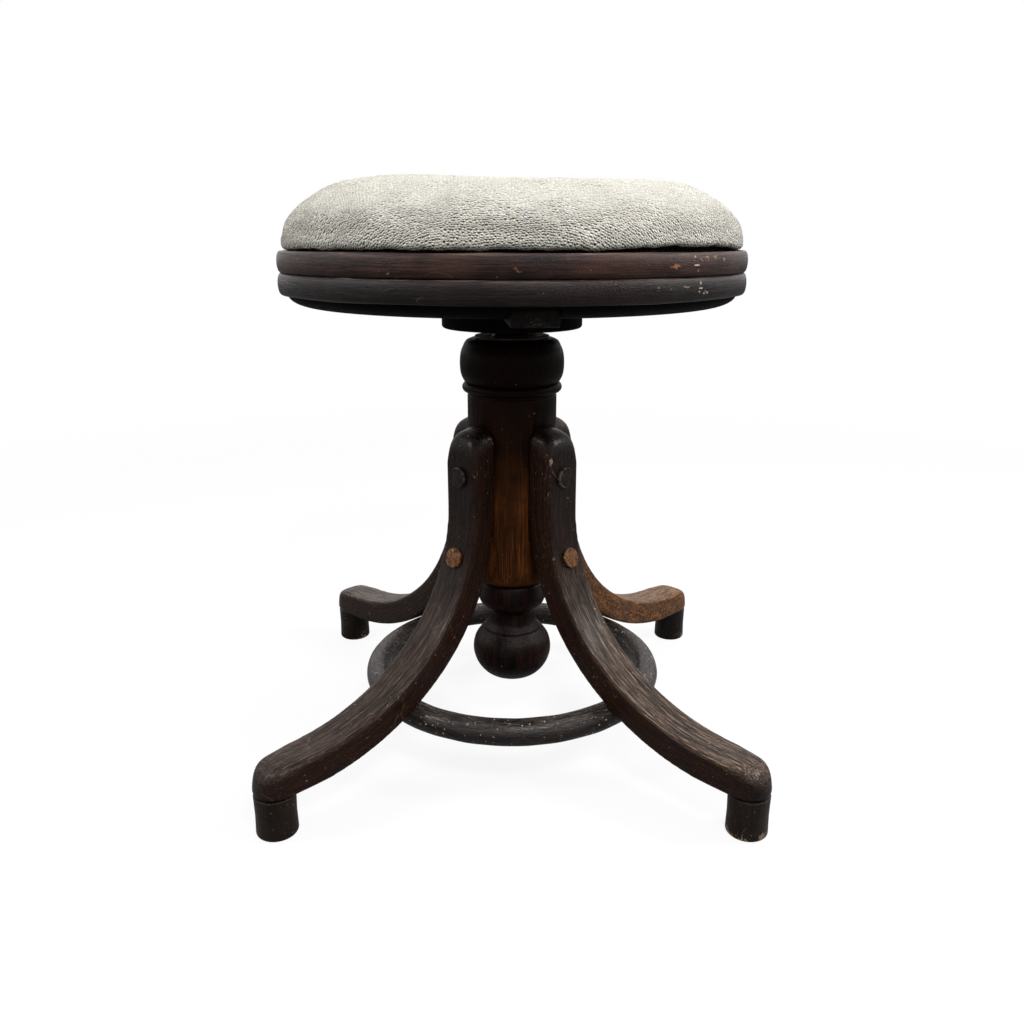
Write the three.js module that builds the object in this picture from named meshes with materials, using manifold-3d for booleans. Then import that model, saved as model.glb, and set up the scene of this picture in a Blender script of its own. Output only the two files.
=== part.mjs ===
// Revolving piano stool: four bent legs on a turned column, a wooden screw and a round padded seat.
// Millimetres, +Z up. The origin is on the floor, on the axis of the screw. The front is -Y.
import * as THREE from 'three';
import { mergeVertices } from 'three/addons/utils/BufferGeometryUtils.js';
import Module from 'manifold-3d';

const wasm = await Module();
wasm.setup();

// General
const clearance = 0.3; // gap left between two pieces that touch
const overrun = 2; // how far a cutting solid runs past the face it cuts
const fullTurn = Math.PI * 2;
const quarterTurn = Math.PI / 2;
const roundSides = 24;
const wideSides = 44;
const smallSides = 8;
const bendSteps = 6;
const cornerSteps = 3;
const edgeSteps = 4;
const bevelSteps = 2;
const screwTipShare = 2; // length of a wood screw's tip, as a share of its radius

// Legs and feet
const legDegrees = { front_left: 225, front_right: 315, back_right: 45, back_left: 135 };
const legWidth = 34;
const legThickness = 24;
const legCorner = 4.5; // rounding of the long edges
const legStraight = 61; // straight part of the centre line, above the upper bend
const legTopRound = 17;
const legUpperBend = 160; // centre-line radius where the leg leaves the column
const legLowerBend = 185; // centre-line radius where it flattens out to the toe
const legSlopeAngle = THREE.MathUtils.degToRad(38); // steepest part, from level
const toeLength = 36; // level part of the centre line, beyond the lower bend
const toeRound = 17;
const footRadius = 15.3;
const footHeight = 32.4;
const footInset = 15.7; // from the end of the toe to the middle of the foot
const footEdgeRound = 2.4;
const footTenonRadius = 6;
const footTenonLength = 13;

// Leg screws and the button plugs over them, placed by their distance from the top of the leg,
// measured along its outer face
const upperPlugDrop = 38;
const lowerPlugDrop = 105;
const plugRadius = 8.2;
const plugProud = 3.6;
const plugDome = 1.2;
const plugSides = 12;
const plugStemRadius = 5.2;
const plugStemLength = 5.4;
const legScrewRadius = 2.6;
const legScrewHead = 4.9;
const legScrewHeadDepth = 3.2;
const legScrewGrip = 14; // how deep a leg screw bites into the column

// Foot ring
const ringRadius = 118;
const ringTube = 10.6;
const ringSides = 40;
const ringTubeSides = 9;
const ringScrewRadius = 2.2;
const ringScrewHead = 4.2;
const ringScrewHeadDepth = 2.6;
const ringScrewGrip = 13;
const ringScrewSink = 1;

// Column
const columnTop = 338.5;
const columnBottom = 134;
const capRadius = 42.3;
const capHeight = 35;
const shaftRadius = 36.5;
const shaftFootRadius = 26;
const shaftFootRound = 26; // height over which the shaft draws in at its lower end
const beadRadius = 40.7;
const beadHeight = 8;
const coveHeight = 6;
const coveDepth = 0.6;
const quirkDepth = 2.4;
const columnBore = 19.5;
const flatDepth = 2.2; // depth of the flats that seat the legs

// Pendant under the column
const collarRadius = 30;
const collarHeight = 26;
const neckRadius = 20;
const neckHeight = 14;
const neckFlare = 4.7;
const ballRadius = 34;
const ballHeight = 51;
const pendantTenonLength = 17;

// Screw and nut
const threadPitch = 12;
const seatRise = 120; // travel from screwed right down to the stop pin
const threadCrest = 18;
const threadRoot = 14.8;
const threadClearance = 0.6;
const threadSides = 16;
const spindleTenonRadius = 12;
const spindleTenonSink = 1.5; // how far the tenon stops below the top of the seat board
const shoulderHeight = 3.4;
const nutRadius = 25;
const nutLength = 40;
const stopPinRadius = 2.2;
const stopPinRise = 8; // height of the stop pin above the lower end of the screw
const stopPinLength = 35.4;
const stopPinMargin = 2;
const washerThickness = 2;
const washerRadius = 30;

// Seat underside
const hubRadius = 56.2;
const hubHeight = 18.4;
const hubEdgeRound = 2;
const hubFloor = 14.2;
const crossbarWidth = 31;
const crossbarHeight = 11.6;
const crossbarReach = 168;
const crossbarCorner = 3;
const crossbarTurn = THREE.MathUtils.degToRad(5);
const crossbarPinRadius = 3;
const boardThickness = 9;
const boardInset = 7; // how far the board's edge lies inside the rim's
const boardEdgeReach = 21;
const seatLift = 6.2; // gap that is left between the washer and the hub when the seat is down

// Rim
const rimRadius = 180;
const rimHeight = 31.4;
const rimBeadDepth = 3.6;
const rimWall = 16; // thickness of the rim round the pad
const rimLedgeWidth = 10; // ledge that carries the pad
const rimRebate = 14;

// Pad
const coverThickness = 1.6;
const padBoardThickness = 9;
const padInset = 4; // how far the pad's side lies inside the rim's
const padRise = 56.2; // crown above the top of the rim
const padLean = 2.4; // the filling has settled towards one side
const coverTuck = 18; // width of the cover turned in under the pad board
const padSides = 34;
const insetShare = 1.6; // how fast the drawing-in of the crown fades out towards the middle

// Seat screws
const seatScrewRadius = 2.2;
const seatScrewHead = 4.3;
const seatScrewHeadDepth = 2.6;
const seatScrewSink = 0.8;
const rimScrewCount = 4;
const rimScrewLength = 22;
const rimScrewSink = 2;
const hubScrewCircle = 40;
const hubScrewLength = 25.5;
const crossbarScrewPlace = 118;
const crossbarScrewLength = 11.5;
const padScrewCount = 4;
const padScrewInset = 26; // from the ledge's edge
const padScrewLength = 33;
const padScrewSink = 1;

// Materials
function wood(color, roughness) {
  return new THREE.MeshStandardMaterial({ color, roughness, metalness: 0, flatShading: true });
}

function metal(color, roughness) {
  return new THREE.MeshStandardMaterial({ color, roughness, metalness: 1, flatShading: true });
}

const darkStain = wood(0x2b1d18, 0.45);
const redStain = wood(0x4a2c1e, 0.42);
const rimStain = wood(0x33241e, 0.48);
const plugStain = wood(0x5a3a26, 0.5);
const blackPaint = wood(0x0d0b0a, 0.6);
const paleWood = wood(0xa8825a, 0.7);
const fabric = wood(0xd6d1c4, 0.95);
const filling = wood(0xcfc4ac, 1);
const leather = wood(0x3a2417, 0.7);
const steel = metal(0x6f6b66, 0.45);

// Solids
function toSolid(geometry) {
  const bare = geometry.clone();
  bare.deleteAttribute('normal');
  bare.deleteAttribute('uv');
  const merged = mergeVertices(bare);
  const corners = [];
  for (let i = 0; i < merged.index.count; i += 3) {
    const a = merged.index.getX(i);
    const b = merged.index.getX(i + 1);
    const c = merged.index.getX(i + 2);
    if (a !== b && b !== c && c !== a) {
      corners.push(a, b, c);
    }
  }
  const vertProperties = merged.attributes.position.array;
  const triVerts = new Uint32Array(corners);
  return new wasm.Manifold(new wasm.Mesh({ numProp: 3, vertProperties, triVerts }));
}

function toGeometry(solid) {
  const mesh = solid.getMesh();
  const geometry = new THREE.BufferGeometry();
  geometry.setAttribute('position', new THREE.BufferAttribute(mesh.vertProperties, 3));
  geometry.setIndex(new THREE.BufferAttribute(mesh.triVerts, 1));
  geometry.computeVertexNormals();
  return geometry;
}

function node(name, solid, material) {
  const mesh = new THREE.Mesh(toGeometry(solid), material);
  mesh.name = name;
  return mesh;
}

function cut(solid, cutters) {
  return cutters.reduce((left, cutter) => left.subtract(cutter), solid);
}

function joined(solids) {
  return solids.reduce((whole, solid) => whole.add(solid));
}

// A turned solid about Z from points [radius, height], in any order of travel.
function turned(points, sides = roundSides) {
  const vectors = points.map(([radius, height]) => new THREE.Vector2(radius, height));
  const ordered = THREE.ShapeUtils.area(vectors) < 0 ? vectors.reverse() : vectors;
  return toSolid(new THREE.LatheGeometry(ordered, sides).rotateX(quarterTurn));
}

function rod(radius, low, high, sides = smallSides) {
  return turned([[0, low], [radius, low], [radius, high], [0, high]], sides);
}

function block(low, high) {
  const size = [0, 1, 2].map((axis) => high[axis] - low[axis]);
  const centre = [0, 1, 2].map((axis) => (high[axis] + low[axis]) / 2);
  return toSolid(new THREE.BoxGeometry(...size).translate(...centre));
}

// Moves a solid made along +Z so that it starts at `from` and points along `along`.
function placed(solid, from, along) {
  const upwards = new THREE.Vector3(0, 0, 1);
  const turn = new THREE.Quaternion().setFromUnitVectors(upwards, along.clone().normalize());
  const matrix = new THREE.Matrix4().compose(from, turn, new THREE.Vector3(1, 1, 1));
  return toSolid(toGeometry(solid).applyMatrix4(matrix));
}

function spun(solid, angle) {
  return toSolid(toGeometry(solid).rotateZ(angle));
}

function raised(solid, height) {
  return toSolid(toGeometry(solid).translate(0, 0, height));
}

function arc(centreRadius, centreHeight, size, from, to, steps) {
  const points = [];
  for (let i = 0; i <= steps; i += 1) {
    const angle = from + ((to - from) * i) / steps;
    points.push([centreRadius + size * Math.cos(angle), centreHeight + size * Math.sin(angle)]);
  }
  return points;
}

function ringOf(count, radius, first = 0) {
  return Array.from({ length: count }, (_, i) => {
    const angle = first + (fullTurn * i) / count;
    return new THREE.Vector3(radius * Math.cos(angle), radius * Math.sin(angle), 0);
  });
}

// Wood screw along +Z with its countersunk head at zero.
function woodScrew(radius, head, headDepth, length) {
  const tip = radius * screwTipShare;
  const outline = [[0, 0], [head, 0], [radius, headDepth], [radius, length - tip], [0, length]];
  return turned(outline, smallSides);
}

// The hole that such a screw needs, with room behind the head.
function screwHole(radius, head, headDepth, length, behind) {
  const wide = head + clearance;
  const narrow = radius + clearance;
  const outline = [
    [0, -behind],
    [wide, -behind],
    [wide, clearance],
    [narrow, headDepth + clearance],
    [narrow, length + clearance],
    [0, length + clearance],
  ];
  return turned(outline, smallSides);
}

// A helical thread: rows of points follow the helix, and four rows make one turn of the profile.
const threadShares = [0, 0.22, 0.5, 0.72];

function threadBody(root, crest, turns) {
  const radii = [root, root, crest, crest];
  const rowsPerTurn = threadShares.length;
  const rows = rowsPerTurn * turns;
  const positions = [];
  const lookup = new Map();
  function corner(side, row) {
    const wrapped = side === threadSides;
    const i = wrapped ? 0 : side;
    const k = wrapped ? row + rowsPerTurn : row;
    const key = `${i} ${k}`;
    if (!lookup.has(key)) {
      const step = k % rowsPerTurn;
      const angle = (fullTurn * i) / threadSides;
      const height = threadPitch * (Math.floor(k / rowsPerTurn) + threadShares[step] + i / threadSides);
      positions.push(radii[step] * Math.cos(angle), radii[step] * Math.sin(angle), height);
      lookup.set(key, positions.length / 3 - 1);
    }
    return lookup.get(key);
  }
  const faces = [];
  for (let row = 0; row < rows; row += 1) {
    for (let side = 0; side < threadSides; side += 1) {
      const a = corner(side, row);
      const b = corner(side + 1, row);
      const c = corner(side + 1, row + 1);
      const d = corner(side, row + 1);
      faces.push(a, b, c, a, c, d);
    }
  }
  positions.push(0, 0, 0);
  const low = positions.length / 3 - 1;
  positions.push(0, 0, threadPitch * (turns + 1));
  const high = positions.length / 3 - 1;
  for (let side = 0; side < threadSides; side += 1) {
    faces.push(low, corner(side + 1, 0), corner(side, 0));
    faces.push(high, corner(side, rows), corner(side + 1, rows));
  }
  for (let step = 0; step < rowsPerTurn; step += 1) {
    faces.push(low, corner(0, step), corner(0, step + 1));
    faces.push(high, corner(0, rows + step + 1), corner(0, rows + step));
  }
  const geometry = new THREE.BufferGeometry();
  geometry.setAttribute('position', new THREE.BufferAttribute(new Float32Array(positions), 3));
  geometry.setIndex(faces);
  return toSolid(geometry);
}

// A stretch of thread between two heights, in step with the one shared helix.
function threadBetween(root, crest, low, high) {
  const firstTurn = Math.floor(low / threadPitch) - 1;
  const lastTurn = Math.ceil(high / threadPitch) + 1;
  const body = raised(threadBody(root, crest, lastTurn - firstTurn), firstTurn * threadPitch);
  return body.intersect(rod(crest + overrun, low, high, threadSides));
}

// Leg centre line, in its own plane: radius from the axis and height
const flatRadius = shaftRadius - flatDepth;
const legInnerFace = flatRadius + clearance;
const legCentre = legInnerFace + legThickness / 2;
const upperTurn = quarterTurn - legSlopeAngle;
const soleHeight = footHeight + clearance;
const toeCentreHeight = soleHeight + legThickness / 2;
const slopeHeight = toeCentreHeight + legLowerBend * (1 - Math.cos(legSlopeAngle));
const bendHeight = slopeHeight + legUpperBend * Math.sin(upperTurn);
const slopeRadius = legCentre + legUpperBend * (1 - Math.cos(upperTurn));
const levelRadius = slopeRadius + legLowerBend * Math.sin(legSlopeAngle);
const legTopHeight = bendHeight + legStraight;
const toeReach = levelRadius + toeLength;
const footCircle = toeReach - footInset;
const upperPivot = [legCentre + legUpperBend, bendHeight];
const lowerPivot = [levelRadius, toeCentreHeight + legLowerBend];

function legOutline() {
  const half = legThickness / 2;
  const outerFace = legCentre + half;
  const topCentre = [outerFace - legTopRound, legTopHeight - legTopRound];
  const toeCentre = [toeReach - toeRound, toeCentreHeight + half - toeRound];
  const steep = -quarterTurn - legSlopeAngle;
  const [upperX, upperY] = upperPivot;
  const [lowerX, lowerY] = lowerPivot;
  const points = [
    [legInnerFace, legTopHeight],
    ...arc(...topCentre, legTopRound, quarterTurn, 0, cornerSteps),
    ...arc(upperX, upperY, legUpperBend - half, Math.PI, Math.PI + upperTurn, bendSteps),
    ...arc(lowerX, lowerY, legLowerBend - half, steep, -quarterTurn, bendSteps).slice(1),
    ...arc(...toeCentre, toeRound, quarterTurn, 0, cornerSteps),
    [toeReach, soleHeight],
    ...arc(lowerX, lowerY, legLowerBend + half, -quarterTurn, steep, bendSteps),
    ...arc(upperX, upperY, legUpperBend + half, Math.PI + upperTurn, Math.PI, bendSteps).slice(1),
  ];
  return new THREE.Shape(points.map(([x, y]) => new THREE.Vector2(x, y)));
}

function legBody() {
  const geometry = new THREE.ExtrudeGeometry(legOutline(), {
    depth: legWidth - legCorner * 2,
    bevelEnabled: true,
    bevelThickness: legCorner,
    bevelSize: legCorner,
    bevelOffset: -legCorner,
    bevelSegments: bevelSteps,
  });
  geometry.translate(0, 0, legCorner - legWidth / 2);
  return toSolid(geometry.rotateX(quarterTurn));
}

// Where a leg screw and its plug sit, `drop` down the outer face: a point on the face, the way
// in along the leg's own normal, and how far in the screw goes
function seatAt(drop) {
  const outer = legThickness / 2;
  const face = new THREE.Vector3(legCentre + outer, 0, legTopHeight - drop);
  const inward = new THREE.Vector3(-1, 0, 0);
  if (drop > legStraight) {
    const turn = (drop - legStraight) / (legUpperBend - outer);
    const facetHalf = upperTurn / bendSteps / 2;
    const hollow = plugRadius ** 2 / (legUpperBend * 2);
    const size = (legUpperBend - outer) * Math.cos(facetHalf) - hollow;
    inward.set(-Math.cos(turn), 0, -Math.sin(turn));
    face.set(upperPivot[0], 0, upperPivot[1]).addScaledVector(inward, size);
  }
  return { face, inward, reach: (face.x - shaftRadius) / -inward.x + legScrewGrip };
}

const seats = { upper: seatAt(upperPlugDrop), lower: seatAt(lowerPlugDrop) };

// The plug's dome as shares of its radius and its height
const plugShares = [
  [1, 0],
  [0.86, 0.75],
  [0, 1],
];

function plugSolid() {
  const stem = -plugStemLength;
  return turned([
    [0, stem],
    [plugStemRadius, stem],
    [plugStemRadius, clearance],
    [plugRadius, clearance],
    ...plugShares.map(([radius, height]) => [plugRadius * radius, plugProud - plugDome * (1 - height)]),
  ], plugSides);
}

function seatScrewPlace(seat) {
  const sink = plugStemLength + clearance * 2;
  return seat.face.clone().addScaledVector(seat.inward, sink);
}

function seatScrewLength(seat) {
  return seat.reach - plugStemLength - clearance * 2;
}

function legScrew(seat) {
  const body = woodScrew(legScrewRadius, legScrewHead, legScrewHeadDepth, seatScrewLength(seat));
  return placed(body, seatScrewPlace(seat), seat.inward);
}

function legScrewHole(seat) {
  const length = seatScrewLength(seat);
  const hole = screwHole(legScrewRadius, legScrewHead, legScrewHeadDepth, length, clearance);
  return placed(hole, seatScrewPlace(seat), seat.inward);
}

function plugHole(seat) {
  const depth = plugStemLength + clearance;
  const hole = rod(plugStemRadius + clearance, -depth - clearance, overrun, smallSides * 2);
  return placed(hole, seat.face, seat.inward.clone().negate());
}

// Foot ring: it lies against the underside of the legs where they flatten out
const ringGap = legThickness / 2 + ringTube + clearance;
const ringAcross = lowerPivot[0] - ringRadius;
const ringBelow = Math.sqrt((legLowerBend + ringGap) ** 2 - ringAcross ** 2);
const ringHeight = lowerPivot[1] - ringBelow;
const ringToLeg = new THREE.Vector3(ringAcross, 0, ringBelow).normalize();
const ringScrewLength = ringTube * 2 + ringScrewGrip - ringScrewSink;

function ringScrewStart() {
  const back = ringTube - ringScrewSink;
  return new THREE.Vector3(ringRadius, 0, ringHeight).addScaledVector(ringToLeg, -back);
}

function ringScrew() {
  const body = woodScrew(ringScrewRadius, ringScrewHead, ringScrewHeadDepth, ringScrewLength);
  return placed(body, ringScrewStart(), ringToLeg);
}

function ringScrewHole() {
  const hole = screwHole(ringScrewRadius, ringScrewHead, ringScrewHeadDepth, ringScrewLength, overrun);
  return placed(hole, ringScrewStart(), ringToLeg);
}

function footBody() {
  return turned([
    [0, 0],
    ...arc(footRadius - footEdgeRound, footEdgeRound, footEdgeRound, -quarterTurn, 0, bevelSteps),
    [footRadius, footHeight],
    [footTenonRadius, footHeight],
    [footTenonRadius, footHeight + footTenonLength],
    [0, footHeight + footTenonLength],
  ], smallSides * 2);
}

function footHole() {
  const top = footHeight + footTenonLength + clearance;
  const hole = rod(footTenonRadius + clearance, footHeight - overrun, top, smallSides * 2);
  return toSolid(toGeometry(hole).translate(footCircle, 0, 0));
}

// Column: turned outline from the top down, then the bore, the flats and the screw holes.
// Each table holds shares of a radius and of a height.
const capShares = [
  [0.79, 1],
  [0.93, 0.83],
  [0.98, 0.69],
  [1, 0.5],
  [0.995, 0.28],
  [0.965, 0.13],
  [0.905, 0],
];
const shaftFootShares = [
  [1, 1],
  [0.97, 0.62],
  [0.88, 0.3],
  [0.62, 0.1],
  [0, 0],
];

function columnBody() {
  const capBottom = columnTop - capHeight;
  const beadBottom = capBottom - beadHeight;
  const footDraw = shaftRadius - shaftFootRadius;
  const cap = capShares.map(([radius, height]) => [
    capRadius * radius,
    capBottom + capHeight * height,
  ]);
  const beadCentre = [beadRadius - beadHeight / 2, beadBottom + beadHeight / 2];
  const bead = arc(...beadCentre, beadHeight / 2, quarterTurn, -quarterTurn, edgeSteps);
  const foot = shaftFootShares.map(([radius, height]) => [
    shaftFootRadius + footDraw * radius,
    columnBottom + shaftFootRound * height,
  ]);
  return turned([
    [0, columnTop],
    ...cap,
    [capRadius * capShares.at(-1)[0] - quirkDepth / 2, capBottom],
    ...bead,
    [beadRadius - quirkDepth, beadBottom],
    [shaftRadius + coveDepth, beadBottom - coveHeight / 2],
    [shaftRadius, beadBottom - coveHeight],
    ...foot,
    [0, columnBottom],
  ]);
}

const nutBottom = columnTop - nutLength;
const stopPinHeight = nutBottom - seatRise - stopPinMargin - stopPinRadius;
const spindleBottom = stopPinHeight - stopPinRise;
const flatTurn = Math.acos(1 - (flatDepth + clearance) / (legUpperBend + legThickness / 2));
const flatBottom = bendHeight - (legUpperBend + legThickness / 2) * Math.sin(flatTurn);

function legFlat() {
  const half = legWidth / 2 + clearance;
  const low = [flatRadius, -half, flatBottom];
  return block(low, [flatRadius + legThickness, half, legTopHeight + clearance]);
}

// Pendant: tenon, collar, neck and ball, hung from the lower end of the column
const collarShares = [
  [0.86, 1],
  [0.95, 0.9],
  [1, 0.62],
  [0.98, 0.36],
  [0.9, 0.14],
  [0.76, 0],
];
const ballShares = [
  [0.62, 1],
  [0.71, 0.9],
  [0.735, 0.875],
  [0.745, 0.895],
  [0.84, 0.8],
  [0.95, 0.69],
  [1, 0.55],
  [0.985, 0.42],
  [0.89, 0.25],
  [0.71, 0.09],
  [0.5, 0],
];
const collarTop = columnBottom - clearance;
const collarBottom = collarTop - collarHeight;
const ballTop = collarBottom - neckHeight;
const ballBottom = ballTop - ballHeight;

function pendantBody() {
  const tenonRadius = columnBore - clearance;
  const tenonTop = columnBottom + pendantTenonLength;
  const collar = collarShares.map(([radius, height]) => [
    collarRadius * radius,
    collarBottom + collarHeight * height,
  ]);
  const ball = ballShares.map(([radius, height]) => [
    ballRadius * radius,
    ballBottom + ballHeight * height,
  ]);
  return turned([
    [0, tenonTop],
    [tenonRadius, tenonTop],
    [tenonRadius, collarTop],
    ...collar,
    [neckRadius, collarBottom - neckFlare],
    [neckRadius, ballTop + neckFlare],
    ...ball,
    [0, ballBottom],
  ]);
}

// Seat heights when it is down
const washerBottom = columnTop + clearance;
const hubBottom = washerBottom + washerThickness + seatLift;
const hubTop = hubBottom + hubHeight;
const boardFootHeight = hubTop + clearance;
const crossbarBottom = hubBottom + hubFloor;
const crossbarTop = crossbarBottom + crossbarHeight;
const boardTop = boardFootHeight + boardThickness;
const rimBottom = boardTop + clearance;
const rimTop = rimBottom + rimHeight;
const rimInnerRadius = rimRadius - rimWall;
const rimLedgeRadius = rimInnerRadius - rimLedgeWidth;
const boardRadius = rimRadius - boardInset;
const padRadius = rimRadius - padInset;
const ledgeHeight = rimTop - rimRebate;
const padBottom = ledgeHeight + clearance;
const padBoardBottom = padBottom + coverThickness + clearance;
const padBoardTop = padBoardBottom + padBoardThickness;
const spindleShoulder = hubBottom - clearance;
const spindleTop = boardTop - spindleTenonSink;

function spindleBody() {
  const neckBottom = spindleShoulder - shoulderHeight;
  const thread = threadBetween(threadRoot, threadCrest, spindleBottom, neckBottom + clearance);
  const neck = rod(threadCrest, neckBottom, spindleShoulder, threadSides);
  const tenon = rod(spindleTenonRadius, neckBottom, spindleTop, threadSides);
  return joined([thread, neck, tenon]);
}

// A round pin along X, centred on the axis at one height.
function crossPin(radius, length, height) {
  const pin = rod(radius, -length / 2, length / 2);
  return placed(pin, new THREE.Vector3(0, 0, height), new THREE.Vector3(1, 0, 0));
}

const crossbarPinHeight = crossbarBottom + crossbarHeight / 2;
const crossbarPinLength = crossbarWidth - clearance;

function crossbarPin(radius, length) {
  return spun(crossPin(radius, length, crossbarPinHeight), crossbarTurn);
}

function nutBody() {
  const blank = rod(nutRadius, nutBottom, columnTop - clearance, roundSides);
  const root = threadRoot + threadClearance;
  const crest = threadCrest + threadClearance;
  return blank.subtract(threadBetween(root, crest, nutBottom - overrun, columnTop + overrun));
}

function hubBody() {
  const edgeCentre = [hubRadius - hubEdgeRound, hubBottom + hubEdgeRound];
  const edge = arc(...edgeCentre, hubEdgeRound, -quarterTurn, 0, bevelSteps);
  const disc = turned([[0, hubBottom], ...edge, [hubRadius, hubTop], [0, hubTop]], wideSides);
  const half = crossbarWidth / 2 + clearance;
  const reach = hubRadius + overrun;
  const slot = block([-half, -reach, crossbarBottom - clearance], [half, reach, hubTop + overrun]);
  const bore = rod(spindleTenonRadius + clearance, hubBottom - overrun, hubTop, threadSides);
  return cut(disc, [spun(slot, crossbarTurn), bore]);
}

function crossbarBody() {
  const side = crossbarReach - crossbarCorner;
  const low = crossbarBottom + crossbarCorner;
  const points = [
    [-crossbarReach, crossbarTop],
    ...arc(-side, low, crossbarCorner, Math.PI, Math.PI + quarterTurn, edgeSteps),
    ...arc(side, low, crossbarCorner, -quarterTurn, 0, edgeSteps),
    [crossbarReach, crossbarTop],
  ];
  const shape = new THREE.Shape(points.map(([x, y]) => new THREE.Vector2(x, y)));
  const depth = crossbarWidth;
  const geometry = new THREE.ExtrudeGeometry(shape, { depth, bevelEnabled: false });
  geometry.translate(0, 0, -depth / 2);
  geometry.rotateX(quarterTurn);
  geometry.rotateZ(quarterTurn + crossbarTurn);
  return toSolid(geometry);
}

function boardBody() {
  const edge = [];
  for (let i = 0; i <= edgeSteps; i += 1) {
    const angle = (quarterTurn * i) / edgeSteps;
    edge.push([
      boardRadius - boardEdgeReach * (1 - Math.sin(angle)),
      boardFootHeight + boardThickness * (1 - Math.cos(angle)),
    ]);
  }
  const disc = turned([[0, boardFootHeight], ...edge, [0, boardTop]], wideSides);
  const half = crossbarWidth / 2 + clearance;
  const reach = boardRadius + overrun; // the slot runs out through the board's edge
  const slot = block([-half, -reach, boardFootHeight - overrun], [half, reach, crossbarTop + clearance]);
  const bore = rod(spindleTenonRadius + clearance, boardFootHeight, spindleTop + clearance, threadSides);
  return cut(disc, [spun(slot, crossbarTurn), bore]);
}

function rimBody() {
  const beadHeightEach = rimHeight / 2;
  const side = rimRadius - rimBeadDepth;
  const beads = [];
  for (const base of [rimBottom, rimBottom + beadHeightEach]) {
    for (let i = 0; i <= edgeSteps; i += 1) {
      const angle = -quarterTurn + (Math.PI * i) / edgeSteps;
      beads.push([
        side + rimBeadDepth * Math.cos(angle),
        base + (beadHeightEach / 2) * (1 + Math.sin(angle)),
      ]);
    }
  }
  return turned([
    [rimLedgeRadius, rimBottom],
    ...beads,
    [rimInnerRadius, rimTop],
    [rimInnerRadius, ledgeHeight],
    [rimLedgeRadius, ledgeHeight],
    [rimLedgeRadius, rimBottom],
  ], wideSides);
}

// Pad: the crown is one outline, used for the cover and, drawn in, for the filling
const crownShares = [
  [0.952, 0.012],
  [0.982, 0.03],
  [0.998, 0.11],
  [1, 0.2],
  [0.993, 0.3],
  [0.972, 0.42],
  [0.932, 0.555],
  [0.88, 0.68],
  [0.83, 0.77],
  [0.775, 0.84],
  [0.715, 0.895],
  [0.62, 0.945],
  [0.5, 0.975],
  [0.3, 0.993],
  [0, 1],
];
const collarInner = rimInnerRadius * Math.cos(Math.PI / wideSides) - clearance;
const padEdge = collarInner - coverThickness - clearance;

// The crown drawn in by `inset`, as points [radius, height] from the rim up to the middle.
function crown(inset) {
  return crownShares.map(([radius, height]) => [
    Math.max(padRadius * radius - inset * Math.min(1, radius * insetShare), 0),
    rimTop + clearance + padRise * height - inset * height,
  ]);
}

// An inner surface needs only every second point of the crown.
function innerCrown(inset) {
  return crown(inset).filter((_, i) => i % 2 === 0 && i > 0);
}

// The filling leans to one side, so every height above the rim moves with its distance along X.
function leaned(solid) {
  const geometry = toGeometry(solid);
  const position = geometry.attributes.position;
  for (let i = 0; i < position.count; i += 1) {
    const part = Math.max(0, position.getZ(i) - rimTop) / padRise;
    const side = -position.getX(i) / padRadius;
    position.setZ(i, position.getZ(i) + padLean * side * part * part);
  }
  return toSolid(geometry);
}

function coverBody() {
  const boardEdge = collarInner - coverThickness;
  const outside = [
    [collarInner, padBottom],
    [collarInner, rimTop + clearance],
    ...crown(0),
  ];
  const inside = [
    ...innerCrown(coverThickness).reverse(),
    [boardEdge, rimTop + coverThickness],
    [boardEdge, padBottom + coverThickness],
    [boardEdge - coverTuck, padBottom + coverThickness],
    [boardEdge - coverTuck, padBottom],
  ];
  return leaned(turned([...outside, ...inside, [collarInner, padBottom]], padSides));
}

function padBoardBody() {
  return rod(padEdge, padBoardBottom, padBoardTop, padSides);
}

function fillingBody() {
  const bottom = padBoardTop + clearance;
  const points = [
    [0, bottom],
    [padEdge, bottom],
    [padEdge, rimTop + coverThickness + clearance],
    ...innerCrown(coverThickness + clearance * 2),
  ];
  return leaned(turned(points, padSides));
}

const up = new THREE.Vector3(0, 0, 1);

// Screws that go up through the underside of the seat
function upScrews(name, places, length) {
  const screw = woodScrew(seatScrewRadius, seatScrewHead, seatScrewHeadDepth, length);
  return places.map((place, i) => node(`${name}_${i + 1}`, placed(screw, place, up), steel));
}

function upHoles(places, length) {
  const hole = screwHole(seatScrewRadius, seatScrewHead, seatScrewHeadDepth, length, boardThickness);
  return places.map((place) => placed(hole, place, up));
}

const eighthTurn = quarterTurn / 2;
const rimScrewCircle = rimLedgeRadius + rimLedgeWidth / 2;
const rimScrewPlaces = ringOf(rimScrewCount, rimScrewCircle, crossbarTurn + eighthTurn / 2)
  .map((place) => place.setZ(boardFootHeight + rimScrewSink));
const hubScrewPlaces = ringOf(4, hubScrewCircle, crossbarTurn + eighthTurn)
  .map((place) => place.setZ(hubBottom + seatScrewSink));
const crossbarScrewPlaces = ringOf(2, crossbarScrewPlace, crossbarTurn + quarterTurn)
  .map((place) => place.setZ(crossbarBottom + seatScrewSink));
const padScrewPlaces = ringOf(padScrewCount, rimLedgeRadius - padScrewInset, crossbarTurn + eighthTurn)
  .map((place) => place.setZ(boardFootHeight + padScrewSink));

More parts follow.
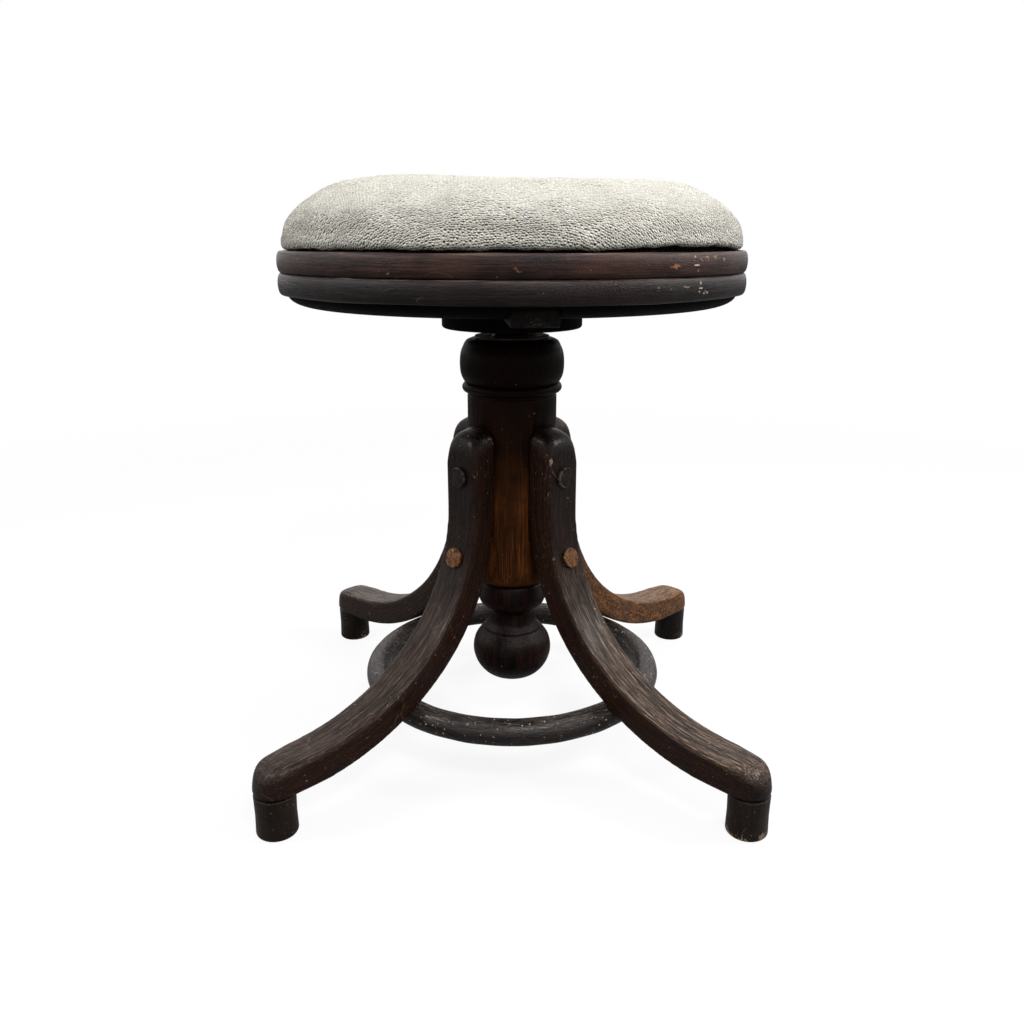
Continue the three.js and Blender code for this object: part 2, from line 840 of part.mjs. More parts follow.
// Assembly
function legAssembly(name, degrees) {
  const group = new THREE.Group();
  group.rotation.z = THREE.MathUtils.degToRad(degrees);
  const { upper, lower } = seats;
  const holes = [legScrewHole(upper), legScrewHole(lower), plugHole(upper), plugHole(lower)];
  const leg = cut(legBody(), [...holes, ringScrewHole(), footHole()]);
  group.add(node(`leg_${name}`, leg, darkStain));
  const foot = node(`foot_${name}`, footBody(), redStain);
  foot.position.x = footCircle;
  group.add(foot);
  for (const [place, seat] of [['upper', upper], ['lower', lower]]) {
    const outward = seat.inward.clone().negate();
    group.add(node(`plug_${place}_${name}`, placed(plugSolid(), seat.face, outward), plugStain));
    group.add(node(`screw_${place}_${name}`, legScrew(seat), steel));
  }
  group.add(node(`ring_screw_${name}`, ringScrew(), steel));
  return group;
}

function legAngles() {
  return Object.values(legDegrees).map((degrees) => THREE.MathUtils.degToRad(degrees));
}

function columnFinished() {
  const { upper, lower } = seats;
  const perLeg = [legFlat(), legScrewHole(upper), legScrewHole(lower)];
  const cutters = legAngles().flatMap((angle) => perLeg.map((cutter) => spun(cutter, angle)));
  const bore = rod(columnBore, columnBottom - overrun, nutBottom, roundSides);
  const nutSeat = rod(nutRadius + clearance, nutBottom - clearance, columnTop + overrun, roundSides);
  return cut(columnBody(), [...cutters, bore, nutSeat]);
}

function footRing() {
  const torus = new THREE.TorusGeometry(ringRadius, ringTube, ringTubeSides, ringSides);
  const holes = legAngles().map((angle) => spun(ringScrewHole(), angle));
  return cut(raised(toSolid(torus), ringHeight), holes);
}

function baseGroup() {
  const group = new THREE.Group();
  group.add(node('column', columnFinished(), redStain));
  group.add(node('pendant', pendantBody(), darkStain));
  group.add(node('screw_nut', nutBody(), paleWood));
  group.add(node('foot_ring', footRing(), darkStain));
  for (const [name, degrees] of Object.entries(legDegrees)) {
    group.add(legAssembly(name, degrees));
  }
  return group;
}

function washerBody() {
  const inner = threadCrest + threadClearance;
  const top = washerBottom + washerThickness;
  return turned([
    [inner, washerBottom],
    [washerRadius, washerBottom],
    [washerRadius, top],
    [inner, top],
    [inner, washerBottom],
  ], roundSides);
}

function seatGroup() {
  const group = new THREE.Group();
  const stopHole = crossPin(stopPinRadius + clearance, threadCrest * 2 + overrun, stopPinHeight);
  const pinHole = crossbarPin(crossbarPinRadius + clearance, crossbarWidth + overrun);
  const rimHoles = upHoles(rimScrewPlaces, rimScrewLength);
  const hubHoles = upHoles(hubScrewPlaces, hubScrewLength);
  const crossbarHoles = upHoles(crossbarScrewPlaces, crossbarScrewLength);
  const padHoles = upHoles(padScrewPlaces, padScrewLength);
  const boardHoles = [...rimHoles, ...hubHoles, ...crossbarHoles, ...padHoles];
  const tenonHole = rod(
    spindleTenonRadius + clearance,
    crossbarBottom - overrun,
    crossbarTop + overrun,
    threadSides,
  );
  group.add(node('spindle', cut(spindleBody(), [stopHole, pinHole]), paleWood));
  group.add(node('stop_pin', crossPin(stopPinRadius, stopPinLength, stopPinHeight), steel));
  group.add(node('hub', cut(hubBody(), hubHoles), blackPaint));
  group.add(node('crossbar', cut(crossbarBody(), [...crossbarHoles, tenonHole, pinHole]), darkStain));
  group.add(node('crossbar_pin', crossbarPin(crossbarPinRadius, crossbarPinLength), paleWood));
  group.add(node('seat_board', cut(boardBody(), boardHoles), blackPaint));
  group.add(node('seat_rim', cut(rimBody(), rimHoles), rimStain));
  group.add(node('pad_board', cut(padBoardBody(), padHoles), paleWood));
  group.add(node('padding', fillingBody(), filling));
  group.add(node('cover', coverBody(), fabric));
  group.add(...upScrews('hub_screw', hubScrewPlaces, hubScrewLength));
  group.add(...upScrews('crossbar_screw', crossbarScrewPlaces, crossbarScrewLength));
  group.add(...upScrews('rim_screw', rimScrewPlaces, rimScrewLength));
  group.add(...upScrews('pad_screw', padScrewPlaces, padScrewLength));
  return group;
}

const stool = new THREE.Group();
stool.add(baseGroup());
stool.add(node('friction_washer', washerBody(), leather));
stool.add(seatGroup());

export default stool;
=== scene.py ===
import math

import bpy
import numpy as np
from mathutils import Matrix, Vector, noise


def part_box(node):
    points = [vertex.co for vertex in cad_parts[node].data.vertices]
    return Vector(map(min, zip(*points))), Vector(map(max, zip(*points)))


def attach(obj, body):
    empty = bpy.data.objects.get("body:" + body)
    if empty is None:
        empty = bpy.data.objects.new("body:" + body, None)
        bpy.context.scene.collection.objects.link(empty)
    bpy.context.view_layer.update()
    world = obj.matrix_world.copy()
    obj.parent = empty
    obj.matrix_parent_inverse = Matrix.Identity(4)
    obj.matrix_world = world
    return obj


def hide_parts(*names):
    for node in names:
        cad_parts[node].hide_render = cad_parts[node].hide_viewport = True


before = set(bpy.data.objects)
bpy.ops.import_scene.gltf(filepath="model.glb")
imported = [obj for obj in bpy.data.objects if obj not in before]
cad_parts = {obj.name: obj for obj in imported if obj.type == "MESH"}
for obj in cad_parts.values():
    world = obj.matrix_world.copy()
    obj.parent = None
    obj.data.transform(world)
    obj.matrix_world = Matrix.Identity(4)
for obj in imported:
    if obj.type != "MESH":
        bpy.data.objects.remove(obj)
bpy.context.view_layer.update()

quarterTurn = math.pi / 2
mergeDistance = 0.00001
clearance = 0.0003  # left between pieces that meet
overrun = 0.002  # how far a cutter runs out past the wood


# Selection, modifiers and shaping

def clearSelection():
    bpy.ops.object.select_all(action="DESELECT")


def pick(piece):
    clearSelection()
    piece.select_set(True)
    bpy.context.view_layer.objects.active = piece


def applyModifier(piece, kind, **settings):
    pick(piece)
    modifier = piece.modifiers.new(kind.title(), kind)
    for key, value in settings.items():
        setattr(modifier, key, value)
    bpy.ops.object.modifier_apply(modifier=modifier.name)


def trim(piece, cutter, operation):
    applyModifier(piece, "BOOLEAN", operation=operation, object=cutter, solver="EXACT")
    bpy.data.objects.remove(cutter)


def smoothByAngle(piece, degrees=40):
    pick(piece)
    bpy.ops.object.shade_smooth_by_angle(angle=math.radians(degrees))


def softenEdges(piece, width, segments, degrees=50):
    applyModifier(
        piece, "BEVEL", width=width, segments=segments, limit_method="ANGLE",
        angle_limit=math.radians(degrees), harden_normals=False,
    )


def turnMesh(piece, degrees):  # about the stool's axis
    piece.data.transform(Matrix.Rotation(math.radians(degrees), 4, "Z"))


def moveMesh(piece, place):
    piece.data.transform(Matrix.Translation(place))


def copyPiece(piece, name):  # a copy with its own mesh
    twin = piece.copy()
    twin.data = piece.data.copy()
    twin.name = twin.data.name = name
    bpy.context.scene.collection.objects.link(twin)
    return twin


def sizesOf(shape, *names):
    return [shape[name] for name in names]


def arc(centre, radius, start, end, steps):
    return [
        (centre[0] + radius * math.cos(start + (end - start) * i / steps),
         centre[1] + radius * math.sin(start + (end - start) * i / steps))
        for i in range(steps + 1)
    ]


def softLine(points, steps=5):  # a smooth line through a few given points
    ends = [points[0], *points, points[-1]]
    line = []
    for a, b, c, d in zip(ends, ends[1:], ends[2:], ends[3:]):
        for i in range(steps):
            t = i / steps
            line.append(tuple(
                0.5 * (2 * b[k] + (c[k] - a[k]) * t + (2 * a[k] - 5 * b[k] + 4 * c[k] - d[k]) * t * t
                       + (3 * b[k] - a[k] - 3 * c[k] + d[k]) * t ** 3)
                for k in (0, 1)
            ))
    line.append(tuple(points[-1]))
    return line


def rectangle(halfWidth, halfLength):
    corners = ((-1, -1), (1, -1), (1, 1), (-1, 1))
    return [(x * halfWidth, y * halfLength) for x, y in corners]


def startPiece(name):  # a plane merged to one point, left in edit mode
    clearSelection()
    bpy.ops.mesh.primitive_plane_add(size=0.01)
    piece = bpy.context.object
    piece.name = piece.data.name = name
    bpy.ops.object.mode_set(mode="EDIT")
    bpy.ops.mesh.merge(type="CENTER")
    return piece


def drawOutline(points):
    bpy.ops.transform.translate(value=points[0])
    for a, b in zip(points, points[1:]):
        step = [end - start for start, end in zip(a, b)]
        bpy.ops.mesh.extrude_vertices_move(TRANSFORM_OT_translate={"value": step})


def closeMesh():
    bpy.ops.mesh.select_all(action="SELECT")
    bpy.ops.mesh.remove_doubles(threshold=mergeDistance)
    bpy.ops.mesh.normals_make_consistent(inside=False)
    bpy.ops.object.mode_set(mode="OBJECT")


def turnedPiece(name, outline, steps):  # outline of (radius, height), spun about the stool's axis
    piece = startPiece(name)
    drawOutline([(radius, 0, height) for radius, height in outline])
    bpy.ops.mesh.select_all(action="SELECT")
    bpy.ops.mesh.spin(steps=steps, angle=math.tau, center=(0, 0, 0), axis=(0, 0, 1))
    closeMesh()
    return piece


def slab(name, outline, axis, low, high):  # outline drawn across one axis and extruded along it
    order = {"x": (1, 2, 0), "y": (0, 2, 1), "z": (0, 1, 2)}[axis]

    def place(u, v, w):
        point = [0, 0, 0]
        for k, value in zip(order, (u, v, w)):
            point[k] = value
        return point

    piece = startPiece(name)
    drawOutline([place(u, v, low) for u, v in outline])
    bpy.ops.mesh.select_all(action="SELECT")
    bpy.ops.mesh.edge_face_add()
    bpy.ops.mesh.extrude_region_move(TRANSFORM_OT_translate={"value": place(0, 0, high - low)})
    closeMesh()
    return piece


# Points of a mesh, and values kept on it for the materials

def vertexValues(piece, name):
    values = np.zeros(len(piece.data.vertices) * 3)
    piece.data.vertices.foreach_get(name, values)
    return values.reshape(-1, 3)


def meshPoints(piece):
    return vertexValues(piece, "co")


def setPoints(piece, points):
    piece.data.vertices.foreach_set("co", points.reshape(-1))
    piece.data.update()


def smoothStep(low, high, values):
    t = np.clip((values - low) / (high - low), 0, 1)
    return t * t * (3 - 2 * t)


def within(values, span):  # 1 inside a span, eased to 0 outside both its ends
    return smoothStep(span[0], span[1], values) * (1 - smoothStep(span[2], span[3], values))


def keepValues(piece, name, values, domain="POINT"):
    isVector = values.ndim == 2
    attribute = piece.data.attributes.new(name, "FLOAT_VECTOR" if isVector else "FLOAT", domain)
    attribute.data.foreach_set("vector" if isVector else "value", values.reshape(-1).astype(np.float32))


def keepWear(piece, flat, sharp, spread=8, below=None):  # how strongly the wood curves outwards, per metre
    points, normals = meshPoints(piece), vertexValues(piece, "normal")
    edges = np.zeros(len(piece.data.edges) * 2, np.int64)
    piece.data.edges.foreach_get("vertices", edges)
    a, b = edges.reshape(-1, 2).T
    along = points[a] - points[b]
    size = np.maximum((along ** 2).sum(1), 1e-12)
    total = np.zeros(len(points))
    count = np.zeros(len(points))
    for ends, sign in ((a, 1), (b, -1)):
        np.add.at(total, ends, 2 * sign * (normals[ends] * along).sum(1) / size)
        np.add.at(count, ends, 1)
    wear = smoothStep(flat, sharp, total / np.maximum(count, 1))
    for step in range(spread):
        total = wear.copy()
        for ends, others in ((a, b), (b, a)):
            np.add.at(total, ends, wear[others])
        wear = total / (count + 1)
    if below is not None:
        wear *= 1 - smoothStep(below / 2, below, points[:, 2])
    keepValues(piece, "wear", wear)


def keepStraightGrain(piece, axis):
    order = {"x": (0, 1, 2), "y": (1, 0, 2), "z": (2, 0, 1)}[axis]
    keepValues(piece, "grain", meshPoints(piece)[:, order])


def keepRingGrain(piece, radius):  # the grain follows the ring; its joint is at the back
    points = meshPoints(piece)
    corners = np.zeros(len(piece.data.loops), np.int64)
    piece.data.loops.foreach_get("vertex_index", corners)
    angle = np.arctan2(points[:, 0], -points[:, 1])[corners]
    for face in piece.data.polygons:
        span = slice(face.loop_start, face.loop_start + face.loop_total)
        if np.ptp(angle[span]) > math.pi:
            angle[span] = np.where(angle[span] < 0, angle[span] + math.tau, angle[span])
    distance = np.hypot(points[corners, 0], points[corners, 1])
    keepValues(piece, "grain", np.stack([angle * radius, points[corners, 2], distance], axis=1), "CORNER")


def roughen(piece, amount, size, seed):  # the slight unevenness of old hand-finished wood
    points, normals = meshPoints(piece), vertexValues(piece, "normal")
    lift = np.array([noise.noise(Vector(point) / size + Vector((seed, 0, 0))) for point in points])
    setPoints(piece, points + normals * (lift * amount)[:, None])


# Node building

def addNode(tree, kind, inputs=None, **settings):
    node = tree.nodes.new(kind)
    for key, value in settings.items():
        setattr(node, key, value)
    for key, value in (inputs or {}).items():
        if isinstance(value, bpy.types.NodeSocket):
            tree.links.new(value, node.inputs[key])
        else:
            node.inputs[key].default_value = value
    return node


def objectPlace(tree):
    return addNode(tree, "ShaderNodeTexCoord").outputs["Object"]


def attributeSocket(tree, name, output):
    return addNode(tree, "ShaderNodeAttribute", attribute_name=name).outputs[output]


def axisOf(tree, vector, axis):
    return addNode(tree, "ShaderNodeSeparateXYZ", {0: vector}).outputs[axis]


def facingUp(tree):
    return axisOf(tree, addNode(tree, "ShaderNodeNewGeometry").outputs["Normal"], "Z")


def stretched(tree, vector, scale):
    return addNode(tree, "ShaderNodeMapping", {"Vector": vector, "Scale": scale}).outputs[0]


def noiseNode(tree, vector, scale, detail, roughness=0.55, distortion=0.0):
    return addNode(tree, "ShaderNodeTexNoise", {
        "Vector": vector, "Scale": scale, "Detail": detail,
        "Roughness": roughness, "Distortion": distortion,
    })


def noiseValue(tree, vector, scale, *character):
    return noiseNode(tree, vector, scale, *character).outputs["Fac"]


def stretchedNoise(tree, vector, stretch, *character):
    return noiseValue(tree, stretched(tree, vector, stretch), 1, *character)


def shakenPlace(tree, place, reach, detail):  # the place moved a little by a fine noise
    shake = noiseNode(tree, place, 260, detail, 0.5).outputs["Color"]
    return vectorMath(tree, "MULTIPLY_ADD", shake, reach, place)


def ranged(tree, value, low, high, start=0.0, end=1.0):
    sockets = {"Value": value, "From Min": low, "From Max": high, "To Min": start, "To Max": end}
    return addNode(tree, "ShaderNodeMapRange", sockets, interpolation_type="SMOOTHSTEP").outputs[0]


def combine(tree, operation, *values):
    sockets = dict(enumerate(values))
    return addNode(tree, "ShaderNodeMath", sockets, operation=operation, use_clamp=True).outputs[0]


def times(tree, first, *others):
    for other in others:
        first = combine(tree, "MULTIPLY", first, other)
    return first


def vectorMath(tree, operation, *values, output="Vector"):
    node = addNode(tree, "ShaderNodeVectorMath", dict(enumerate(values)), operation=operation)
    return node.outputs[output]


def mixColour(tree, share, first, second, blend="MIX"):
    sockets = {0: share, 6: first, 7: second}
    return addNode(tree, "ShaderNodeMix", sockets, data_type="RGBA", blend_type=blend).outputs[2]


def startMaterial(name, roughness, specular=0.5):
    material = bpy.data.materials.new(name)
    material.use_nodes = True
    tree = material.node_tree
    shader = tree.nodes["Principled BSDF"]
    shader.inputs["Roughness"].default_value = roughness
    shader.inputs["Specular IOR Level"].default_value = specular
    return material, tree, shader


def setLook(tree, shader, colour, roughness, height, depth=0.0002, strength=0.5):
    tree.links.new(colour, shader.inputs["Base Color"])
    if roughness is not None:
        tree.links.new(roughness, shader.inputs["Roughness"])
    bump = addNode(tree, "ShaderNodeBump", {"Strength": strength, "Distance": depth, "Height": height})
    tree.links.new(bump.outputs[0], shader.inputs["Normal"])


# Old stained wood: blotches, grain, pores, flecks of bare wood along worn edges, dust where it faces up
# that is partly a painted highlight, chips, scratches and named bruises. Colours are linear.
woodLook = {
    "dark": (0.0042, 0.0024, 0.0019, 1),
    "light": (0.0150, 0.0070, 0.0042, 1),
    "darkTo": (0.0042, 0.0024, 0.0019, 1),
    "fadeTo": (0.0150, 0.0070, 0.0042, 1),
    "fadeHeights": (-1.0, -0.9),  # below the first, the colours have gone all the way to the below ones
    "worn": (0.190, 0.098, 0.048, 1),
    # dust, and a painted highlight, laid where the wood faces up
    "dust": (0.118, 0.086, 0.064, 1),
    "chip": (0.420, 0.215, 0.100, 1),
    "blotchScale": 16,
    "blotchRange": (0.40, 0.66),
    "broadGrain": (11, 240, 240),
    "fineGrain": (26, 1100, 1100),
    "thinGrain": (45, 1900, 1900),
    "poreGrain": (70, 1500, 1500),
    "speckGrain": (330, 700, 700),
    "patchScale": 30,
    "poreShare": 0.45,
    "grainStrength": 0.75,
    "streakGain": (2.6, 2.4, 2.2, 1),
    "wearReach": 0.34,
    "wearAmount": 0.8,
    "dustAmount": 0.4,
    "dustHeights": (2.0, 3.0),
    "dustVeil": 0.16,
    "hairRange": (0.52, 0.60),
    "chipScale": 26,
    "chipSize": 0.070,
    "chipShare": 0.30,
    "scratchAmount": 0.35,
    "scratchGrain": (26, 90, 60),
    "scratchTurn": (0.5, 0.3, 0.9),
    "scratchWidth": 0.004,
    "side": (0.0085, 0.0026, 0.0013, 1),
    "sideLight": (0.0240, 0.0075, 0.0028, 1),
    "sideReach": (0.0125, 0.0160),
    "sideAmount": 0.0,
    "fleck": (0.260, 0.130, 0.045, 1),
    "fleckAmount": 0.6,
    "nicks": (),
    "specular": 0.11,
    "roughness": (0.24, 0.42),
    "stipple": 0.5,
    "stippleScale": 900,
    "grainRelief": 0.8,
    "bumpDepth": 0.00045,
}
raggedReach = 0.007  # how far the outline of a chip or bruise is shaken


def stainColour(tree, look, place, height, broad, fine):  # blotches, and paler streaks along the grain
    blotch = ranged(tree, noiseValue(tree, place, look["blotchScale"], 4, 0.6), *look["blotchRange"])
    # the colours shift with height; on the column this is partly painted shade of the seat
    faded = ranged(tree, height, *reversed(look["fadeHeights"]))
    light = mixColour(tree, faded, look["light"], look["fadeTo"])
    dark = mixColour(tree, faded, look["dark"], look["darkTo"])
    streaks = times(tree, ranged(tree, broad, 0.40, 0.60), ranged(tree, fine, 0.43, 0.60))
    streaks = times(tree, streaks, look["grainStrength"])
    brighter = mixColour(tree, 1.0, light, look["streakGain"], "MULTIPLY")
    return mixColour(tree, streaks, mixColour(tree, blotch, dark, light), brighter)


def sideStain(tree, look, colour, grain, fine, flecks):  # redder sides with pale flecks
    across = combine(tree, "ABSOLUTE", axisOf(tree, grain, "Y"))
    aside = times(tree, ranged(tree, across, *look["sideReach"]), look["sideAmount"])
    redder = mixColour(tree, ranged(tree, fine, 0.36, 0.66), look["side"], look["sideLight"])
    colour = mixColour(tree, aside, colour, redder)
    return mixColour(tree, times(tree, flecks, aside, look["fleckAmount"]), colour, look["fleck"])


def dustMask(tree, look, grain, height, broad):  # a veil of dust and pale hairs in the grain where the wood faces up, partly a painted highlight on up-facing faces; it fades out above the given heights
    hairs = ranged(tree, stretchedNoise(tree, grain, look["thinGrain"], 4, 0.62), *look["hairRange"])
    hairs = times(tree, hairs, ranged(tree, broad, 0.38, 0.58, 0.15, 1.0))
    uneven = combine(tree, "ADD", hairs, ranged(tree, broad, 0.36, 0.62, 0.02, look["dustVeil"]))
    # facing up: real dust, and a painted highlight standing in for light from above
    settled = ranged(tree, facingUp(tree), 0.12, 0.85)
    lowDown = ranged(tree, height, *reversed(look["dustHeights"]))
    return times(tree, settled, lowDown, uneven, look["dustAmount"])


def rubbedMask(tree, look, speckle, patchy):  # bare wood along worn edges
    near = times(tree, attributeSocket(tree, "wear", "Fac"), ranged(tree, patchy, 0.42, 0.66, 0.1, 1.0))
    reach = combine(tree, "MULTIPLY_ADD", near, look["wearReach"], speckle)
    return times(tree, ranged(tree, reach, 0.76, 0.83), look["wearAmount"])


def chipMask(tree, look, ragged):
    spots = addNode(tree, "ShaderNodeTexVoronoi", {"Vector": ragged, "Scale": look["chipScale"]}).outputs
    chosen = addNode(tree, "ShaderNodeSeparateColor", {0: spots["Color"]}).outputs[0]
    kept = ranged(tree, chosen, look["chipShare"], look["chipShare"] - 0.02)
    return times(tree, kept, ranged(tree, spots["Distance"], look["chipSize"], look["chipSize"] * 0.7))


def scratchMask(tree, look, place):  # thin lines in patches
    turned = addNode(tree, "ShaderNodeMapping", {
        "Vector": place, "Rotation": look["scratchTurn"], "Scale": look["scratchGrain"],
    }).outputs[0]
    lines = combine(tree, "COMPARE", noiseValue(tree, turned, 1, 1, 0.4, 0.2), 0.5, look["scratchWidth"])
    patches = ranged(tree, noiseValue(tree, place, look["patchScale"], 2), 0.60, 0.66)
    return times(tree, lines, patches, look["scratchAmount"])


def addNick(tree, colour, place, ragged, nick):
    centre, across, tall, tint, isRagged = nick
    source = place
    if isRagged:
        source = ragged
        centre = [value + raggedReach / 2 for value in centre]
    away = vectorMath(tree, "DIVIDE", vectorMath(tree, "SUBTRACT", source, centre), (across, across, tall))
    far = vectorMath(tree, "LENGTH", away, output="Value")
    return mixColour(tree, ranged(tree, far, 1.0, 0.75), colour, tint)


def woodMaterial(name, **changes):
    look = {**woodLook, **changes}
    material, tree, shader = startMaterial(name, look["roughness"][0], look["specular"])
    place = objectPlace(tree)
    height = axisOf(tree, place, "Z")
    grain = attributeSocket(tree, "grain", "Vector")
    broad = stretchedNoise(tree, grain, look["broadGrain"], 4, 0.62, 0.35)
    fine = stretchedNoise(tree, grain, look["fineGrain"], 3, 0.6, 0.2)
    speckle = stretchedNoise(tree, grain, look["speckGrain"], 4, 0.7)
    patchy = noiseValue(tree, place, look["patchScale"], 3, 0.6)
    pores = stretchedNoise(tree, grain, look["poreGrain"], 2, 0.5)
    pores = ranged(tree, pores, 0.36, 0.46, look["poreShare"], 0.0)
    ragged = shakenPlace(tree, place, [raggedReach] * 3, 4)
    chips = chipMask(tree, look, ragged)

    colour = stainColour(tree, look, place, height, broad, fine)
    if look["sideAmount"]:
        flecks = times(tree, ranged(tree, speckle, 0.60, 0.68), ranged(tree, patchy, 0.44, 0.62))
        colour = sideStain(tree, look, colour, grain, fine, flecks)
    layers = (
        (dustMask(tree, look, grain, height, broad), "dust"),
        (pores, "dark"),
        (rubbedMask(tree, look, speckle, patchy), "worn"),
        (chips, "chip"),
        (scratchMask(tree, look, place), "dust"),
    )
    for mask, layer in layers:
        colour = mixColour(tree, mask, colour, look[layer])
    for nick in look["nicks"]:
        colour = addNick(tree, colour, place, ragged, nick)

    relief = times(tree, noiseValue(tree, place, look["stippleScale"], 3, 0.65), look["stipple"])
    relief = combine(tree, "ADD", relief, times(tree, fine, look["grainRelief"]))
    for mask, depth in ((chips, 0.6), (pores, 0.25)):
        relief = combine(tree, "SUBTRACT", relief, times(tree, mask, depth))
    roughness = ranged(tree, fine, 0.3, 0.7, *look["roughness"])
    setLook(tree, shader, colour, roughness, relief, look["bumpDepth"], 0.8)
    return material


# Cream slub weave: small yarn lumps in rows along the cloth, with painted shade in the gaps between them
# and a painted shadow stroke on each lump's near side
fabricLook = {
    "slub": (0.890, 0.850, 0.735, 1),
    "pale": (0.960, 0.940, 0.855, 1),
    # painted shade colour for the gaps between lumps and the shadow under each lump
    "gap": (0.046, 0.034, 0.021, 1),
    # painted shade colour of the tucked-in cloth
    "hidden": (0.004, 0.003, 0.002, 1),
    "slubsPerMetre": (460, 640, 1),
    "randomness": 0.7,
    "wobble": (0.0018, 0.0016, 0),
    "fibres": (1300, 2600, 1),
    "stroke": (0.04, -0.23),
    "strokeSide": (0.54, 0.29),
    "gapReach": 0.15,
    "cellGap": 0.62,
    "topShare": 0.55,
    "lumpDepth": 0.0015,
    "roughness": 0.95,
    "specular": 0.15,
    "sheen": 0.12,
}


def fabricMaterial(name, look):
    material, tree, shader = startMaterial(name, look["roughness"], look["specular"])
    shader.inputs["Sheen Weight"].default_value = look["sheen"]
    shader.inputs["Sheen Roughness"].default_value = 0.5
    weave = attributeSocket(tree, "weave", "Vector")
    yarn = stretched(tree, shakenPlace(tree, weave, look["wobble"], 3), look["slubsPerMetre"])
    sockets = {"Vector": yarn, "Scale": 1, "Randomness": look["randomness"]}
    edges = addNode(
        tree, "ShaderNodeTexVoronoi", sockets, feature="DISTANCE_TO_EDGE", voronoi_dimensions="2D",
    ).outputs["Distance"]
    lump = addNode(tree, "ShaderNodeTexVoronoi", sockets, voronoi_dimensions="2D").outputs
    tones = addNode(tree, "ShaderNodeSeparateColor", {0: lump["Color"]}).outputs
    inside = vectorMath(tree, "SUBTRACT", yarn, lump["Position"])
    along = axisOf(tree, inside, "Y")
    aside = combine(tree, "ABSOLUTE", axisOf(tree, inside, "X"))
    # painted shadow on each lump's near side
    stroke = times(
        tree, ranged(tree, along, *look["stroke"]), ranged(tree, aside, *look["strokeSide"]),
        ranged(tree, tones[1], 0.0, 0.45, 0.25, 1.0),
    )
    # painted shade in the gaps between lumps, kept weaker where the cloth faces up
    gaps = ranged(tree, edges, 0.01, look["gapReach"], look["cellGap"], 0.0)
    gaps = combine(tree, "MAXIMUM", stroke, gaps)
    gaps = times(tree, gaps, ranged(tree, facingUp(tree), 0.55, 1.0, 1.0, look["topShare"]))
    colour = mixColour(tree, tones[0], look["slub"], look["pale"])
    colour = mixColour(tree, gaps, colour, look["gap"])
    # painted shade on the tucked-in cloth
    colour = mixColour(tree, attributeSocket(tree, "tucked", "Fac"), colour, look["hidden"])
    lumps = times(tree, ranged(tree, edges, 0.0, 0.36), ranged(tree, along, -0.45, 0.15, 0.3, 1.0), 0.8)
    fibres = times(tree, stretchedNoise(tree, weave, look["fibres"], 3, 0.6), 0.2)
    setLook(tree, shader, colour, None, combine(tree, "ADD", lumps, fibres), look["lumpDepth"], 1.0)
    return material


def plainWoodMaterial(name):  # bare beech of the hidden nut, pin and pad board
    material, tree, shader = startMaterial(name, 0.6)
    place = objectPlace(tree)
    fibres = stretchedNoise(tree, place, (300, 300, 14), 5, 0.65, 0.3)
    tone = ranged(tree, fibres, 0.3, 0.7)
    colour = mixColour(tree, tone, (0.16, 0.085, 0.038, 1), (0.39, 0.235, 0.115, 1))
    grime = ranged(tree, noiseValue(tree, place, 28, 4), 0.45, 0.7, 0.0, 0.7)
    colour = mixColour(tree, grime, colour, (0.05, 0.028, 0.016, 1))
    setLook(tree, shader, colour, ranged(tree, fibres, 0.3, 0.7, 0.5, 0.7), fibres)
    return material


def leatherMaterial(name):
    material, tree, shader = startMaterial(name, 0.7)
    place = objectPlace(tree)
    pebbles = addNode(tree, "ShaderNodeTexVoronoi", {"Vector": place, "Scale": 900}).outputs["Distance"]
    stain = ranged(tree, noiseValue(tree, place, 60, 4), 0.35, 0.65)
    colour = mixColour(tree, stain, (0.005, 0.003, 0.002, 1), (0.016, 0.009, 0.006, 1))
    setLook(tree, shader, colour, ranged(tree, stain, 0, 1, 0.55, 0.8), pebbles, 0.0003)
    return material


def steelMaterial(name):  # old wood screws, dull with rust in patches
    material, tree, shader = startMaterial(name, 0.45)
    rust = ranged(tree, noiseValue(tree, objectPlace(tree), 300, 5, 0.65), 0.45, 0.62)
    colour = mixColour(tree, rust, (0.21, 0.20, 0.19, 1), (0.085, 0.032, 0.014, 1))
    tree.links.new(ranged(tree, rust, 0, 1, 1.0, 0.1), shader.inputs["Metallic"])
    setLook(tree, shader, colour, ranged(tree, rust, 0, 1, 0.35, 0.85), rust)
    return material


